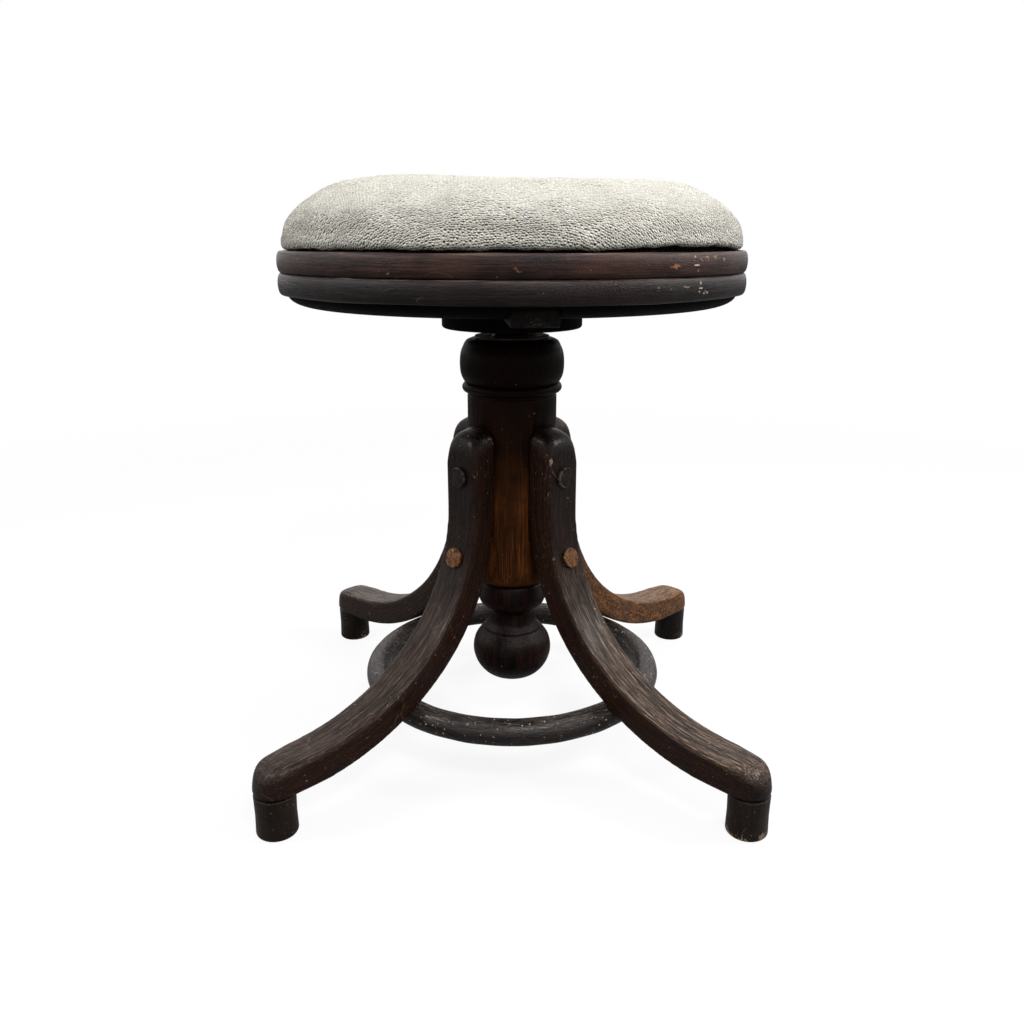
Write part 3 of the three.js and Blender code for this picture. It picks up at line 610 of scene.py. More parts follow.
# Bruises that the finish has in known places: where, how wide, how tall, colour, ragged or clean
paleScar = (0.42, 0.35, 0.31, 1)
brownScar = (0.20, 0.105, 0.055, 1)
rimNicks = (
    ((0.1032, -0.1470, 0.3976), 0.0050, 0.0012, (0.270, 0.105, 0.045, 1), True),
    ((0.0915, -0.1535, 0.3842), 0.0026, 0.0008, (0.260, 0.165, 0.100, 1), True),
    ((0.0990, -0.1490, 0.3845), 0.0014, 0.0007, (0.230, 0.150, 0.095, 1), True),
    ((0.1120, -0.1395, 0.3850), 0.0028, 0.0008, (0.280, 0.175, 0.105, 1), True),
    ((0.0030, -0.1790, 0.3962), 0.0036, 0.0007, (0.180, 0.070, 0.030, 1), True),
    ((-0.0760, -0.1625, 0.3935), 0.0018, 0.0008, (0.240, 0.150, 0.090, 1), True),
    ((0.1181, -0.1355, 0.4039), 0.0009, 0.0013, paleScar, False),
    ((0.1191, -0.1346, 0.3983), 0.0034, 0.0006, paleScar, False),
    ((0.1205, -0.1333, 0.3940), 0.0004, 0.0019, paleScar, False),
    ((0.1219, -0.1321, 0.3905), 0.0004, 0.0021, paleScar, False),
    ((0.1233, -0.1307, 0.3873), 0.0007, 0.0016, paleScar, False),
    ((0.1232, -0.1308, 0.3838), 0.0023, 0.0005, paleScar, False),
    ((0.1260, -0.1281, 0.3804), 0.0009, 0.0007, paleScar, False),
    ((0.1287, -0.1254, 0.3807), 0.0009, 0.0008, paleScar, False),
    ((0.1221, -0.1318, 0.3816), 0.0009, 0.0006, paleScar, False),
    ((0.1276, -0.1265, 0.4020), 0.0026, 0.0010, brownScar, True),
    ((0.1343, -0.1194, 0.4028), 0.0022, 0.0010, brownScar, True),
    ((0.1422, -0.1099, 0.4013), 0.0018, 0.0008, brownScar, True),
    ((0.1228, -0.1312, 0.4014), 0.0016, 0.0008, brownScar, True),
)
legNicks = (
    ((0.0280, -0.0526, 0.2531), 0.0030, 0.0022, (0.250, 0.190, 0.150, 1), True),
    ((0.0305, -0.0508, 0.2478), 0.0013, 0.0032, (0.230, 0.170, 0.130, 1), True),
    ((-0.0480, -0.0396, 0.1354), 0.0026, 0.0006, (0.300, 0.250, 0.200, 1), False),
    ((-0.0474, -0.0402, 0.1334), 0.0024, 0.0006, (0.260, 0.210, 0.165, 1), False),
)

legWood = dict(
    dark=(0.0036, 0.0021, 0.0018, 1), light=(0.0070, 0.0038, 0.0029, 1), darkTo=(0.0036, 0.0021, 0.0018, 1),
    fadeTo=(0.0135, 0.0060, 0.0038, 1), fadeHeights=(0.190, 0.270), blotchScale=22,
    dust=(0.290, 0.205, 0.152, 1), dustAmount=1.0, dustHeights=(0.110, 0.220),
    broadGrain=(14, 420, 420), fineGrain=(30, 1200, 1200), thinGrain=(60, 1900, 1900), poreShare=0.8,
    chip=(0.36, 0.25, 0.17, 1), chipScale=150, chipShare=0.6, chipSize=0.085, wearReach=0.46,
    sideAmount=0.85, nicks=legNicks, specular=0.12, roughness=(0.18, 0.34), stipple=1.3, bumpDepth=0.0007,
)

materials = {
    "column": woodMaterial(
        "columnWood", dark=(0.0016, 0.0007, 0.0005, 1), light=(0.0060, 0.0016, 0.0008, 1),
        # the head near-black and the foot light tan: partly painted shade of the seat over the head
        darkTo=(0.025, 0.0078, 0.0022, 1), fadeTo=(0.090, 0.0285, 0.0070, 1), fadeHeights=(0.170, 0.300),
        chip=(0.36, 0.20, 0.085, 1), chipScale=200, chipShare=0.35, chipSize=0.085, wearReach=0.1,
        grainStrength=0.35, poreShare=0.2, dustAmount=0.0, scratchAmount=0.0,
        specular=0.045, roughness=(0.34, 0.5), stipple=0.25,
    ),
    "pendant": woodMaterial(
        "pendantWood", dark=(0.0024, 0.0012, 0.0010, 1), light=(0.0105, 0.0034, 0.0022, 1),
        chip=(0.24, 0.15, 0.10, 1), chipScale=150, chipShare=0.45, chipSize=0.055, wearReach=0.1,
        dustAmount=0.08, scratchAmount=0.0, specular=0.09, roughness=(0.26, 0.42),
    ),
    "leg": woodMaterial("legWood", **legWood),
    # the front left leg's copy with less dust and sheen: painted shade, the light falling from the right
    "duskyLeg": woodMaterial("duskyLegWood", **{**legWood, "dustAmount": 0.42}),
    "paleLeg": woodMaterial(
        "paleLegWood", dark=(0.0038, 0.0023, 0.0020, 1), light=(0.0150, 0.0066, 0.0042, 1),
        darkTo=(0.034, 0.0145, 0.0060, 1), fadeTo=(0.118, 0.051, 0.0180, 1), fadeHeights=(0.085, 0.200),
        blotchScale=420, dust=(0.300, 0.190, 0.105, 1), dustAmount=0.8, chipShare=0.4, chipSize=0.05,
        broadGrain=(70, 300, 300), fineGrain=(420, 900, 900), thinGrain=(300, 900, 900), poreShare=0.3,
        specular=0.14, stipple=0.9,
    ),
    "rim": woodMaterial(
        "rimWood", dark=(0.0054, 0.0033, 0.0030, 1), light=(0.0420, 0.0190, 0.0145, 1),
        darkTo=(0.0040, 0.0027, 0.0026, 1), fadeTo=(0.0125, 0.0075, 0.0066, 1), fadeHeights=(0.386, 0.397),
        dust=(0.200, 0.150, 0.128, 1), dustAmount=0.75, wearReach=0.14,
        chip=(0.24, 0.16, 0.11, 1), chipScale=110, chipShare=0.7, chipSize=0.065,
        broadGrain=(10, 420, 420), fineGrain=(34, 1400, 1400), thinGrain=(32, 1900, 1900),
        grainStrength=0.42, nicks=rimNicks, specular=0.15, stipple=1.3, grainRelief=0.35,
    ),
    "ring": woodMaterial(
        "ringWood", dark=(0.0046, 0.0036, 0.0033, 1), light=(0.0140, 0.0098, 0.0082, 1),
        dust=(0.210, 0.165, 0.145, 1), dustAmount=0.40, wearReach=0.1,
        # dense pale chips: real chips, partly painted glints
        chip=(0.56, 0.44, 0.36, 1), chipScale=230, chipShare=0.9, chipSize=0.155,
        broadGrain=(50, 420, 420), fineGrain=(160, 1400, 1400), thinGrain=(150, 1900, 1900),
        specular=0.26, roughness=(0.16, 0.30), stipple=1.2, bumpDepth=0.00065,
    ),
    "foot": woodMaterial(
        "footWood", dark=(0.0035, 0.0021, 0.0015, 1), light=(0.0125, 0.0068, 0.0042, 1),
        worn=(0.28, 0.195, 0.125, 1), wearReach=0.72, grainStrength=0.35, specular=0.16, stipple=0.8,
        chip=(0.22, 0.155, 0.100, 1), chipScale=260, chipShare=0.9, chipSize=0.115,
    ),
    "plug": woodMaterial(
        "plugWood", dark=(0.0040, 0.0028, 0.0025, 1), light=(0.0120, 0.0080, 0.0066, 1),
        # pale rim along the rounded edge: worn edge, partly a painted highlight
        worn=(0.11, 0.085, 0.07, 1), wearReach=0.5, chipShare=0.1,
    ),
    "lowerPlug": woodMaterial(
        "lowerPlugWood", dark=(0.010, 0.0040, 0.0018, 1), light=(0.125, 0.050, 0.0140, 1),
        # here the worn colour is dark: the plug is darker along its rounded edge
        blotchScale=420, blotchRange=(0.40, 0.6), worn=(0.010, 0.006, 0.004, 1), wearReach=0.55,
        chip=(0.48, 0.29, 0.10, 1), chipScale=240, chipShare=0.5, chipSize=0.25, specular=0.2,
    ),
    # near-black finish for the hub and the seat board under the seat
    "black": woodMaterial(
        "blackPaint", dark=(0.0008, 0.0007, 0.0007, 1), light=(0.0020, 0.0017, 0.0016, 1), wearReach=0.05,
        chip=(0.05, 0.04, 0.035, 1), chipShare=0.06, chipSize=0.03, grainStrength=0.3,
        dustAmount=0.0, scratchAmount=0.0, specular=0.03, roughness=(0.55, 0.75),
    ),
    "crossbar": woodMaterial(
        "crossbarWood", dark=(0.0024, 0.0018, 0.0016, 1), light=(0.0060, 0.0045, 0.0039, 1),
        worn=(0.034, 0.030, 0.026, 1), wearReach=0.30, dustAmount=0.0, chipShare=0.08, chipSize=0.03,
        specular=0.06, roughness=(0.4, 0.6),
    ),
    "screw": woodMaterial(
        "screwWood", dark=(0.0030, 0.0018, 0.0015, 1), light=(0.0100, 0.0052, 0.0034, 1), wearReach=0.2,
        dustAmount=0.0, chipShare=0.1, specular=0.08,
    ),
    "fabric": fabricMaterial("creamWeave", fabricLook),
    "plain": plainWoodMaterial("bareWood"),
    "leather": leatherMaterial("frictionLeather"),
    "steel": steelMaterial("oldSteel"),
}


def finishPiece(piece, look, slot, body, *nodes):
    piece.data.materials.clear()
    piece.data.materials.append(materials[look])
    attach(piece, body)
    if nodes:
        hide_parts(*nodes)


def dressPiece(piece, shape, look, slot, body, node):  # a piece with straight grain
    keepStraightGrain(piece, shape["grainAxis"])
    keepWear(piece, *shape["wear"])
    smoothByAngle(piece)
    finishPiece(piece, look, slot, body, node)


# Column, its head bored out for the nut
columnLow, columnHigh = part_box("column")
nutLow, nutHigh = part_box("screw_nut")
column = {
    "top": columnHigh.z,
    "bottom": columnLow.z,
    "capRadius": columnHigh.x,
    "capHeight": 0.035,
    "shaftRadius": 0.0365,
    "shoulderRound": 0.0007,
    "footRadius": 0.026,
    "footRound": 0.026,
    "beadRadius": 0.0407,
    "beadHeight": 0.008,
    "neckRadius": 0.0358,
    "neckHeight": 0.0022,
    "neckSlope": 0.0006,
    "quirk": 0.0024,
    "bore": 0.0195,
    "nutRadius": nutHigh.x + clearance,
    "nutBottom": nutLow.z - clearance,
    "flatRadius": 0.0343,
    "flatBottom": 0.19,
    "flatReach": 0.05,
    "arris": 0.0003,
    "sides": 144,
    "grainAxis": "z",
    "wear": (60, 260),  # the outward curve per metre from which the finish rubs off, and where it is gone
    "capShares": (
        (0.79, 1), (0.88, 0.945), (0.935, 0.83), (0.98, 0.69), (1, 0.5), (0.995, 0.28), (0.965, 0.13),
        (0.905, 0),
    ),
    "footShares": ((1, 1), (0.985, 0.72), (0.93, 0.42), (0.74, 0.16), (0.40, 0.03), (0, 0)),
}


def makeColumn(shape):
    top, bottom, shaft, neck = sizesOf(shape, "top", "bottom", "shaftRadius", "neckRadius")
    capBottom = top - shape["capHeight"]
    beadBottom = capBottom - shape["beadHeight"]
    neckBottom = beadBottom - shape["neckHeight"]
    half = shape["beadHeight"] / 2
    edge = shape["shoulderRound"]
    cap = softLine([
        (shape["capRadius"] * radius, capBottom + shape["capHeight"] * height)
        for radius, height in shape["capShares"]
    ])
    foot = softLine([
        (shape["footRadius"] + (shaft - shape["footRadius"]) * radius, bottom + shape["footRound"] * height)
        for radius, height in shape["footShares"]
    ])
    return turnedPiece("columnTurned", [
        (shape["nutRadius"], top),
        *cap,
        (cap[-1][0] - shape["quirk"] / 2, capBottom),
        *arc((shape["beadRadius"] - half, beadBottom + half), half, quarterTurn, -quarterTurn, 12),
        (neck, beadBottom - shape["neckSlope"]),
        (neck, neckBottom),
        *arc((shaft - edge, neckBottom - edge), edge, quarterTurn, 0, 4),
        *foot,
        (shape["bore"], bottom),
        (shape["bore"], shape["nutBottom"]),
        (shape["nutRadius"], shape["nutBottom"]),
        (shape["nutRadius"], top),
    ], shape["sides"])


def cutFlats(piece, shape):  # where the legs stand against the column
    reach = shape["flatReach"] / 2
    for degrees in legDegrees.values():
        outline = rectangle(reach, leg["width"] / 2 + clearance)
        cutter = slab("flatCut", outline, "z", shape["flatBottom"], leg["top"] + clearance)
        moveMesh(cutter, (shape["flatRadius"] + reach, 0, 0))
        turnMesh(cutter, degrees)
        trim(piece, cutter, "DIFFERENCE")


# Leg: side outline, plan and front cut to round its ends, then worn soft by a remesh
legDegrees = {"front_left": 225, "front_right": 315, "back_right": 45, "back_left": 135}
legLow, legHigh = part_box("leg_front_left")
leg = {
    "width": 0.034,
    "thickness": 0.024,
    "innerFace": column["flatRadius"] + clearance,
    "top": legHigh.z,
    "topRound": 0.017,
    "shoulderRound": 0.013,
    "upperBend": 0.160,
    "lowerBend": 0.185,
    "slope": math.radians(38),
    "toeLength": 0.036,
    "toeRound": 0.0185,
    "sole": legLow.z,
    "noseRound": 0.0165,
    "steps": 28,
    "voxel": 0.0013,
    "smoothing": 48,
    "endSmoothing": 150,
    "toeSoft": (-0.040, -0.018),
    "soleKept": (0.003, 0.010),
    "shoulderSoft": (-0.030, -0.012),
    "faceKept": (0.003, 0.008),
    "unevenness": (0.00016, 0.035),
    "wear": (60, 230, 12),
    # the front left leg takes the painted-shade copy of the leg wood
    "looks": {"back_right": "paleLeg", "front_left": "duskyLeg"},
}


def legLine(shape):  # the bends' middles and the heights where they meet
    centre = shape["innerFace"] + shape["thickness"] / 2
    toeHeight = shape["sole"] + shape["thickness"] / 2
    upperTurn = quarterTurn - shape["slope"]
    slopeHeight = toeHeight + shape["lowerBend"] * (1 - math.cos(shape["slope"]))
    bendHeight = slopeHeight + shape["upperBend"] * math.sin(upperTurn)
    slopeRadius = centre + shape["upperBend"] * (1 - math.cos(upperTurn))
    levelRadius = slopeRadius + shape["lowerBend"] * math.sin(shape["slope"])
    return {
        "centre": centre,
        "toeHeight": toeHeight,
        "upperTurn": upperTurn,
        "straight": shape["top"] - bendHeight,
        "reach": levelRadius + shape["toeLength"],
        "upper": (centre + shape["upperBend"], bendHeight),
        "lower": (levelRadius, toeHeight + shape["lowerBend"]),
    }


def softenLegEnds(piece, shape, reach):
    def eased(start, span, values):
        return smoothStep(start + span[0], start + span[1], values)

    x, _, z = meshPoints(piece).T
    toe = eased(reach, shape["toeSoft"], x) * eased(shape["sole"], shape["soleKept"], z)
    shoulders = eased(shape["top"], shape["shoulderSoft"], z)
    shoulders *= eased(shape["innerFace"], shape["faceKept"], x)
    ends = piece.vertex_groups.new(name="ends")
    for index, weight in enumerate(np.maximum(toe, shoulders)):
        if weight > 0:
            ends.add([index], float(weight), "REPLACE")
    applyModifier(piece, "SMOOTH", factor=0.5, iterations=shape["endSmoothing"], vertex_group="ends")
    piece.vertex_groups.clear()


def makeLeg(shape):
    line = legLine(shape)
    half = shape["thickness"] / 2
    side = shape["width"] / 2
    steep = -quarterTurn - shape["slope"]
    steps = shape["steps"]
    topRound, toeRound = sizesOf(shape, "topRound", "toeRound")
    nose, shoulder = sizesOf(shape, "noseRound", "shoulderRound")
    piece = slab("legBent", [
        (shape["innerFace"], shape["top"]),
        *arc((line["centre"] + half - topRound, shape["top"] - topRound), topRound, quarterTurn, 0, 10),
        *arc(line["upper"], shape["upperBend"] - half, math.pi, math.pi + line["upperTurn"], steps),
        *arc(line["lower"], shape["lowerBend"] - half, steep, -quarterTurn, steps)[1:],
        *arc((line["reach"] - toeRound, line["toeHeight"] + half - toeRound), toeRound, quarterTurn, 0, 10),
        (line["reach"], shape["sole"]),
        *arc(line["lower"], shape["lowerBend"] + half, -quarterTurn, steep, steps),
        *arc(line["upper"], shape["upperBend"] + half, math.pi + line["upperTurn"], math.pi, steps)[1:],
    ], "y", -side, side)
    noseCentre = line["reach"] - nose
    plan = [
        (0, -side),
        (noseCentre, -side),
        *[(x, y * side / nose) for x, y in arc((noseCentre, 0), nose, -quarterTurn, quarterTurn, 24)[1:-1]],
        (noseCentre, side),
        (0, side),
    ]
    trim(piece, slab("planCut", plan, "z", 0, shape["top"] + half), "INTERSECT")
    shoulderHeight = shape["top"] - shoulder
    front = [
        (-side, 0),
        *arc((-side + shoulder, shoulderHeight), shoulder, math.pi, quarterTurn, 10),
        *arc((side - shoulder, shoulderHeight), shoulder, quarterTurn, 0, 10),
        (side, 0),
    ]
    trim(piece, slab("frontCut", front, "x", 0, line["reach"] + half), "INTERSECT")
    applyModifier(piece, "REMESH", mode="VOXEL", voxel_size=shape["voxel"])
    applyModifier(piece, "SMOOTH", factor=0.5, iterations=shape["smoothing"])
    softenLegEnds(piece, shape, line["reach"])
    return piece


def keepLegGrain(piece, shape):  # distance down the bent centre line, and the place in the section
    line = legLine(shape)
    x, across, z = meshPoints(piece).T
    upperX, upperZ = line["upper"]
    lowerX, lowerZ = line["lower"]
    turn = np.arctan2(upperZ - z, upperX - x)
    upperAngle = np.clip(turn, 0, line["upperTurn"])
    lowerAngle = np.clip(np.arctan2(lowerX - x, lowerZ - z), 0, shape["slope"])
    steepest = line["straight"] + shape["upperBend"] * line["upperTurn"]
    inLower = turn > line["upperTurn"]
    along = np.where(
        inLower,
        steepest + shape["lowerBend"] * (shape["slope"] - lowerAngle) + np.maximum(x - lowerX, 0),
        np.where(z > upperZ, shape["top"] - z, line["straight"] + shape["upperBend"] * upperAngle),
    )
    offset = np.where(
        inLower,
        np.where(x > lowerX, z - line["toeHeight"], shape["lowerBend"] - np.hypot(x - lowerX, z - lowerZ)),
        np.where(z > upperZ, x - line["centre"], shape["upperBend"] - np.hypot(x - upperX, z - upperZ)),
    )
    keepValues(piece, "grain", np.stack([along, across, offset], axis=1))


def makeLegs(shape):
    pattern = makeLeg(shape)
    for index, (place, degrees) in enumerate(legDegrees.items()):
        piece = copyPiece(pattern, f"leg_{place}_bent")
        keepLegGrain(piece, shape)
        keepWear(piece, *shape["wear"])
        roughen(piece, *shape["unevenness"], seed=index * 7.3)
        turnMesh(piece, degrees)
        smoothByAngle(piece, 60)
        finishPiece(piece, shape["looks"].get(place, "leg"), "dark_stained_wood", "base", f"leg_{place}")
    bpy.data.objects.remove(pattern)


# Peg feet under the toes
footLow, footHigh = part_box("foot_front_left")
foot = {
    "radius": (footHigh.x - footLow.x) / 2,
    "height": leg["sole"] - clearance,
    "circle": math.hypot(footLow.x + footHigh.x, footLow.y + footHigh.y) / 2,
    "taper": 0.0004,
    "edgeRound": 0.0024,
    "seamRound": 0.0006,
    "wornHeight": 0.014,
    "wear": (30, 120, 1),
    "sides": 64,
}


def makeFeet(shape):
    radius, height, edge, seam = sizesOf(shape, "radius", "height", "edgeRound", "seamRound")
    pattern = turnedPiece("footTurned", [
        (0, 0),
        *arc((radius - edge, edge), edge, -quarterTurn, 0, 6),
        (radius - shape["taper"], height / 2),
        *arc((radius - seam, height - seam), seam, 0, quarterTurn, 4),
        (0, height),
    ], shape["sides"])
    for place, degrees in legDegrees.items():
        piece = copyPiece(pattern, f"foot_{place}_turned")
        keepStraightGrain(piece, "z")
        keepWear(piece, *shape["wear"], below=shape["wornHeight"])
        moveMesh(piece, (shape["circle"], 0, 0))
        turnMesh(piece, degrees)
        smoothByAngle(piece)
        finishPiece(piece, "foot", "red_stained_wood", "base", f"foot_{place}")
    bpy.data.objects.remove(pattern)


# Button plugs over the leg screws
plug = {
    "radius": 0.0082,
    "proud": 0.0036,
    "dome": 0.0012,
    "domePower": 2.4,
    "domeShares": (0.82, 0.6, 0.4, 0.2),
    "edgeRound": 0.0010,
    "chamfer": (0.0003, 0.0006),
    "stemRadius": 0.0052,
    "stemLength": 0.0054,
    "upperDrop": 0.038,
    "lowerDrop": 0.105,
    "twist": 37,
    "wear": (60, 400),
    "sides": 48,
}


def plugSeat(drop):  # point on the leg's outer face, and the way in
    line = legLine(leg)
    outer = leg["thickness"] / 2
    if drop <= line["straight"]:
        return Vector((line["centre"] + outer, 0, leg["top"] - drop)), Vector((-1, 0, 0))
    turn = (drop - line["straight"]) / (leg["upperBend"] - outer)
    inward = Vector((-math.cos(turn), 0, -math.sin(turn)))
    hollow = plug["radius"] ** 2 / (leg["upperBend"] * 2)
    pivot = Vector((line["upper"][0], 0, line["upper"][1]))
    return pivot + inward * (leg["upperBend"] - outer - hollow), inward


def makePlugs(shape):
    radius, dome, proud, edge = sizesOf(shape, "radius", "dome", "proud", "edgeRound")
    inset, rise = shape["chamfer"]
    pattern = turnedPiece("plugTurned", [
        (0, -shape["stemLength"]),
        (shape["stemRadius"], -shape["stemLength"]),
        (shape["stemRadius"], clearance),
        (radius - inset, clearance),
        (radius, clearance + rise),
        *arc((radius - edge, proud - dome - edge * 0.2), edge, 0, quarterTurn * 0.8, 5),
        *[(radius * share, proud - dome * share ** shape["domePower"]) for share in shape["domeShares"]],
        (0, proud),
    ], shape["sides"])
    levels = (("upper", shape["upperDrop"], "plug"), ("lower", shape["lowerDrop"], "lowerPlug"))
    for index, (place, degrees) in enumerate(legDegrees.items()):
        for level, drop, look in levels:
            seat, inward = plugSeat(drop)
            piece = copyPiece(pattern, f"plug_{level}_{place}_turned")
            turnMesh(piece, shape["twist"] * index)
            keepStraightGrain(piece, "z")
            keepWear(piece, *shape["wear"])
            piece.data.transform((-inward).to_track_quat("Z", "Y").to_matrix().to_4x4())
            moveMesh(piece, seat)
            turnMesh(piece, degrees)
            smoothByAngle(piece, 50)
            finishPiece(piece, look, "plug_wood", "base", f"plug_{level}_{place}")
    bpy.data.objects.remove(pattern)


# Bent foot ring with its scarf joint
ringLow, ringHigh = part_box("foot_ring")
ring = {
    "tube": 0.0106,
    "height": (ringLow.z + ringHigh.z) / 2,
    "scarfDegrees": 100,
    "scarfSpan": 18,
    "scarfWidth": 0.8,
    "scarfDepth": 0.0005,
    "segments": (240, 40),
    "wear": (40, 160),
    "unevenness": (0.0004, 0.02),
}


def makeRing(shape):
    radius = ringHigh.x - shape["tube"]
    around, across = shape["segments"]
    clearSelection()
    bpy.ops.mesh.primitive_torus_add(
        major_radius=radius, minor_radius=shape["tube"], major_segments=around, minor_segments=across,
        location=(0, 0, shape["height"]),
    )
    piece = bpy.context.object
    piece.name = piece.data.name = "footRingBent"
    bpy.ops.object.transform_apply(location=True, rotation=True, scale=True)
    points, normals = meshPoints(piece), vertexValues(piece, "normal")
    degrees = np.degrees(np.arctan2(points[:, 1], points[:, 0]))
    level = (points[:, 2] - shape["height"]) / shape["tube"]
    gap = np.abs(degrees - shape["scarfDegrees"] - level * shape["scarfSpan"] / 2)
    seam = np.exp(-(gap / shape["scarfWidth"]) ** 2)
    setPoints(piece, points - normals * (seam * shape["scarfDepth"])[:, None])
    roughen(piece, *shape["unevenness"], seed=3.1)
    keepRingGrain(piece, radius)
    keepWear(piece, *shape["wear"])
    smoothByAngle(piece, 60)
    finishPiece(piece, "ring", "dark_stained_wood", "base", "foot_ring")


# Pendant: collar, neck and ball with its incised ring
pendantLow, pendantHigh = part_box("pendant")
pendant = {
    "collarTop": column["bottom"] - clearance,
    "collarHeight": 0.026,
    "collarRadius": 0.030,
    "neckRadius": 0.020,
    "neckHeight": 0.014,
    "neckFlare": 0.0047,
    "neckEase": (0.0006, 0.0004),
    "ballRadius": pendantHigh.x,
    "ballBottom": pendantLow.z,
    "tenonRadius": column["bore"] - clearance,
    "tenonTop": pendantHigh.z,
    "grooveDepth": 0.0011,
    "sides": 144,
    "grainAxis": "z",
    "wear": (60, 260),
    "collarShares": (
        (0.80, 1), (0.90, 0.975), (0.965, 0.88), (1, 0.66), (0.985, 0.40), (0.905, 0.16), (0.76, 0),
    ),
    "shoulderShares": ((0.62, 1), (0.66, 0.955), (0.715, 0.90)),
    "ballShares": (
        (0.750, 0.885), (0.85, 0.80), (0.95, 0.69), (1, 0.545), (0.985, 0.40), (0.89, 0.235), (0.71, 0.09),
        (0.50, 0.015), (0.25, 0), (0, 0),
    ),
}


def makePendant(shape):
    collarBottom = shape["collarTop"] - shape["collarHeight"]
    ballTop = collarBottom - shape["neckHeight"]

    def softShares(radius, low, high, shares):
        return softLine([(radius * across, low + (high - low) * up) for across, up in shares])

    ballSize = shape["ballRadius"], shape["ballBottom"], ballTop
    collar = softShares(shape["collarRadius"], collarBottom, shape["collarTop"], shape["collarShares"])
    shoulder = softShares(*ballSize, shape["shoulderShares"])
    ball = softShares(*ballSize, shape["ballShares"])
    upperEase, lowerEase = shape["neckEase"]
    neck = softLine([
        collar[-1],
        (shape["neckRadius"] + upperEase, collarBottom - shape["neckFlare"] * 0.6),
        (shape["neckRadius"], collarBottom - shape["neckHeight"] / 2),
        (shape["neckRadius"] + lowerEase, ballTop + shape["neckFlare"] * 0.5),
        shoulder[0],
    ])
    return turnedPiece("pendantTurned", [
        (0, shape["tenonTop"]),
        (shape["tenonRadius"], shape["tenonTop"]),
        (shape["tenonRadius"], shape["collarTop"]),
        *collar,
        *neck[1:-1],
        *shoulder,
        ((shoulder[-1][0] + ball[0][0]) / 2 - shape["grooveDepth"], (shoulder[-1][1] + ball[0][1]) / 2),
        *ball,
    ], shape["sides"])


# Screw of the seat: the solid's helix with its crest and root eased
spindleLow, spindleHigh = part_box("spindle")
hubLow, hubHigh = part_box("hub")
spindle = {
    "pitch": 0.012,
    "root": 0.0148,
    "crest": spindleHigh.x,
    "bottom": spindleLow.z,
    "neckBottom": 0.3433,
    "neckRounds": (0.0005, 0.0004),
    "neckOverlap": 0.0002,
    "shoulder": hubLow.z - clearance,
    "top": 0.37315,
    "tenonRadius": 0.012,
    "shares": (0, 0.22, 0.5, 0.72),
    "ease": 0.0009,
    "steps": 64,
    "grainAxis": "z",
    "wear": (100, 500),
}


def makeSpindle(shape):
    pitch, root, crest, ease = sizesOf(shape, "pitch", "root", "crest", "ease")
    first = math.floor(shape["bottom"] / pitch) - 2
    turns = math.ceil(shape["neckBottom"] / pitch) + 2 - first
    low, mid, high, last = (pitch * (first + share) for share in shape["shares"])
    end = pitch * (first + 1)
    profile = [
        (root, low), (root, mid - ease), (root + ease * 0.35, mid), (crest - ease * 0.35, high),
        (crest, high + ease), (crest, last - ease), (crest - ease * 0.35, last),
        (root + ease * 0.35, end - ease * 0.5), (root, end),
    ]
    piece = startPiece("spindleThreaded")
    drawOutline([(radius, 0, height) for radius, height in profile])
    bpy.ops.object.mode_set(mode="OBJECT")
    applyModifier(
        piece, "SCREW", angle=math.tau, screw_offset=pitch, iterations=turns, steps=shape["steps"],
        render_steps=shape["steps"], axis="Z", use_merge_vertices=True, merge_threshold=mergeDistance,
        use_smooth_shade=True,
    )
    highest = shape["neckBottom"] + shape["neckOverlap"]
    for height, keepsUpper in ((shape["bottom"], True), (highest, False)):
        pick(piece)
        bpy.ops.object.mode_set(mode="EDIT")
        bpy.ops.mesh.select_all(action="SELECT")
        bpy.ops.mesh.remove_doubles(threshold=mergeDistance)
        bpy.ops.mesh.select_all(action="SELECT")
        bpy.ops.mesh.bisect(
            plane_co=(0, 0, height), plane_no=(0, 0, 1), use_fill=True, clear_inner=keepsUpper,
            clear_outer=not keepsUpper,
        )
        closeMesh()
    lowRound, highRound = shape["neckRounds"]
    neck = turnedPiece("neckTurned", [
        (0, shape["neckBottom"]),
        (crest - lowRound, shape["neckBottom"]),
        (crest, shape["neckBottom"] + lowRound),
        (crest, shape["shoulder"] - highRound),
        (crest - highRound, shape["shoulder"]),
        (shape["tenonRadius"], shape["shoulder"]),
        (shape["tenonRadius"], shape["top"]),
        (0, shape["top"]),
    ], shape["steps"])
    trim(piece, neck, "UNION")
    return piece


# Leather washer on the column's head
washerLow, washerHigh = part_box("friction_washer")
washer = {
    "inner": 0.0186,
    "outer": washerHigh.x,
    "bottom": washerLow.z,
    "top": washerHigh.z,
    "edgeRound": 0.0006,
    "sides": 96,
}


def makeWasher(shape):
    inner, outer, bottom, top, edge = sizesOf(shape, "inner", "outer", "bottom", "top", "edgeRound")
    return turnedPiece("frictionWasherCut", [
        (inner, bottom),
        *arc((outer - edge, bottom + edge), edge, -quarterTurn, 0, 4),
        *arc((outer - edge, top - edge), edge, 0, quarterTurn, 4),
        (inner + edge, top),
        (inner, top - edge),
        (inner, bottom),
    ], shape["sides"])


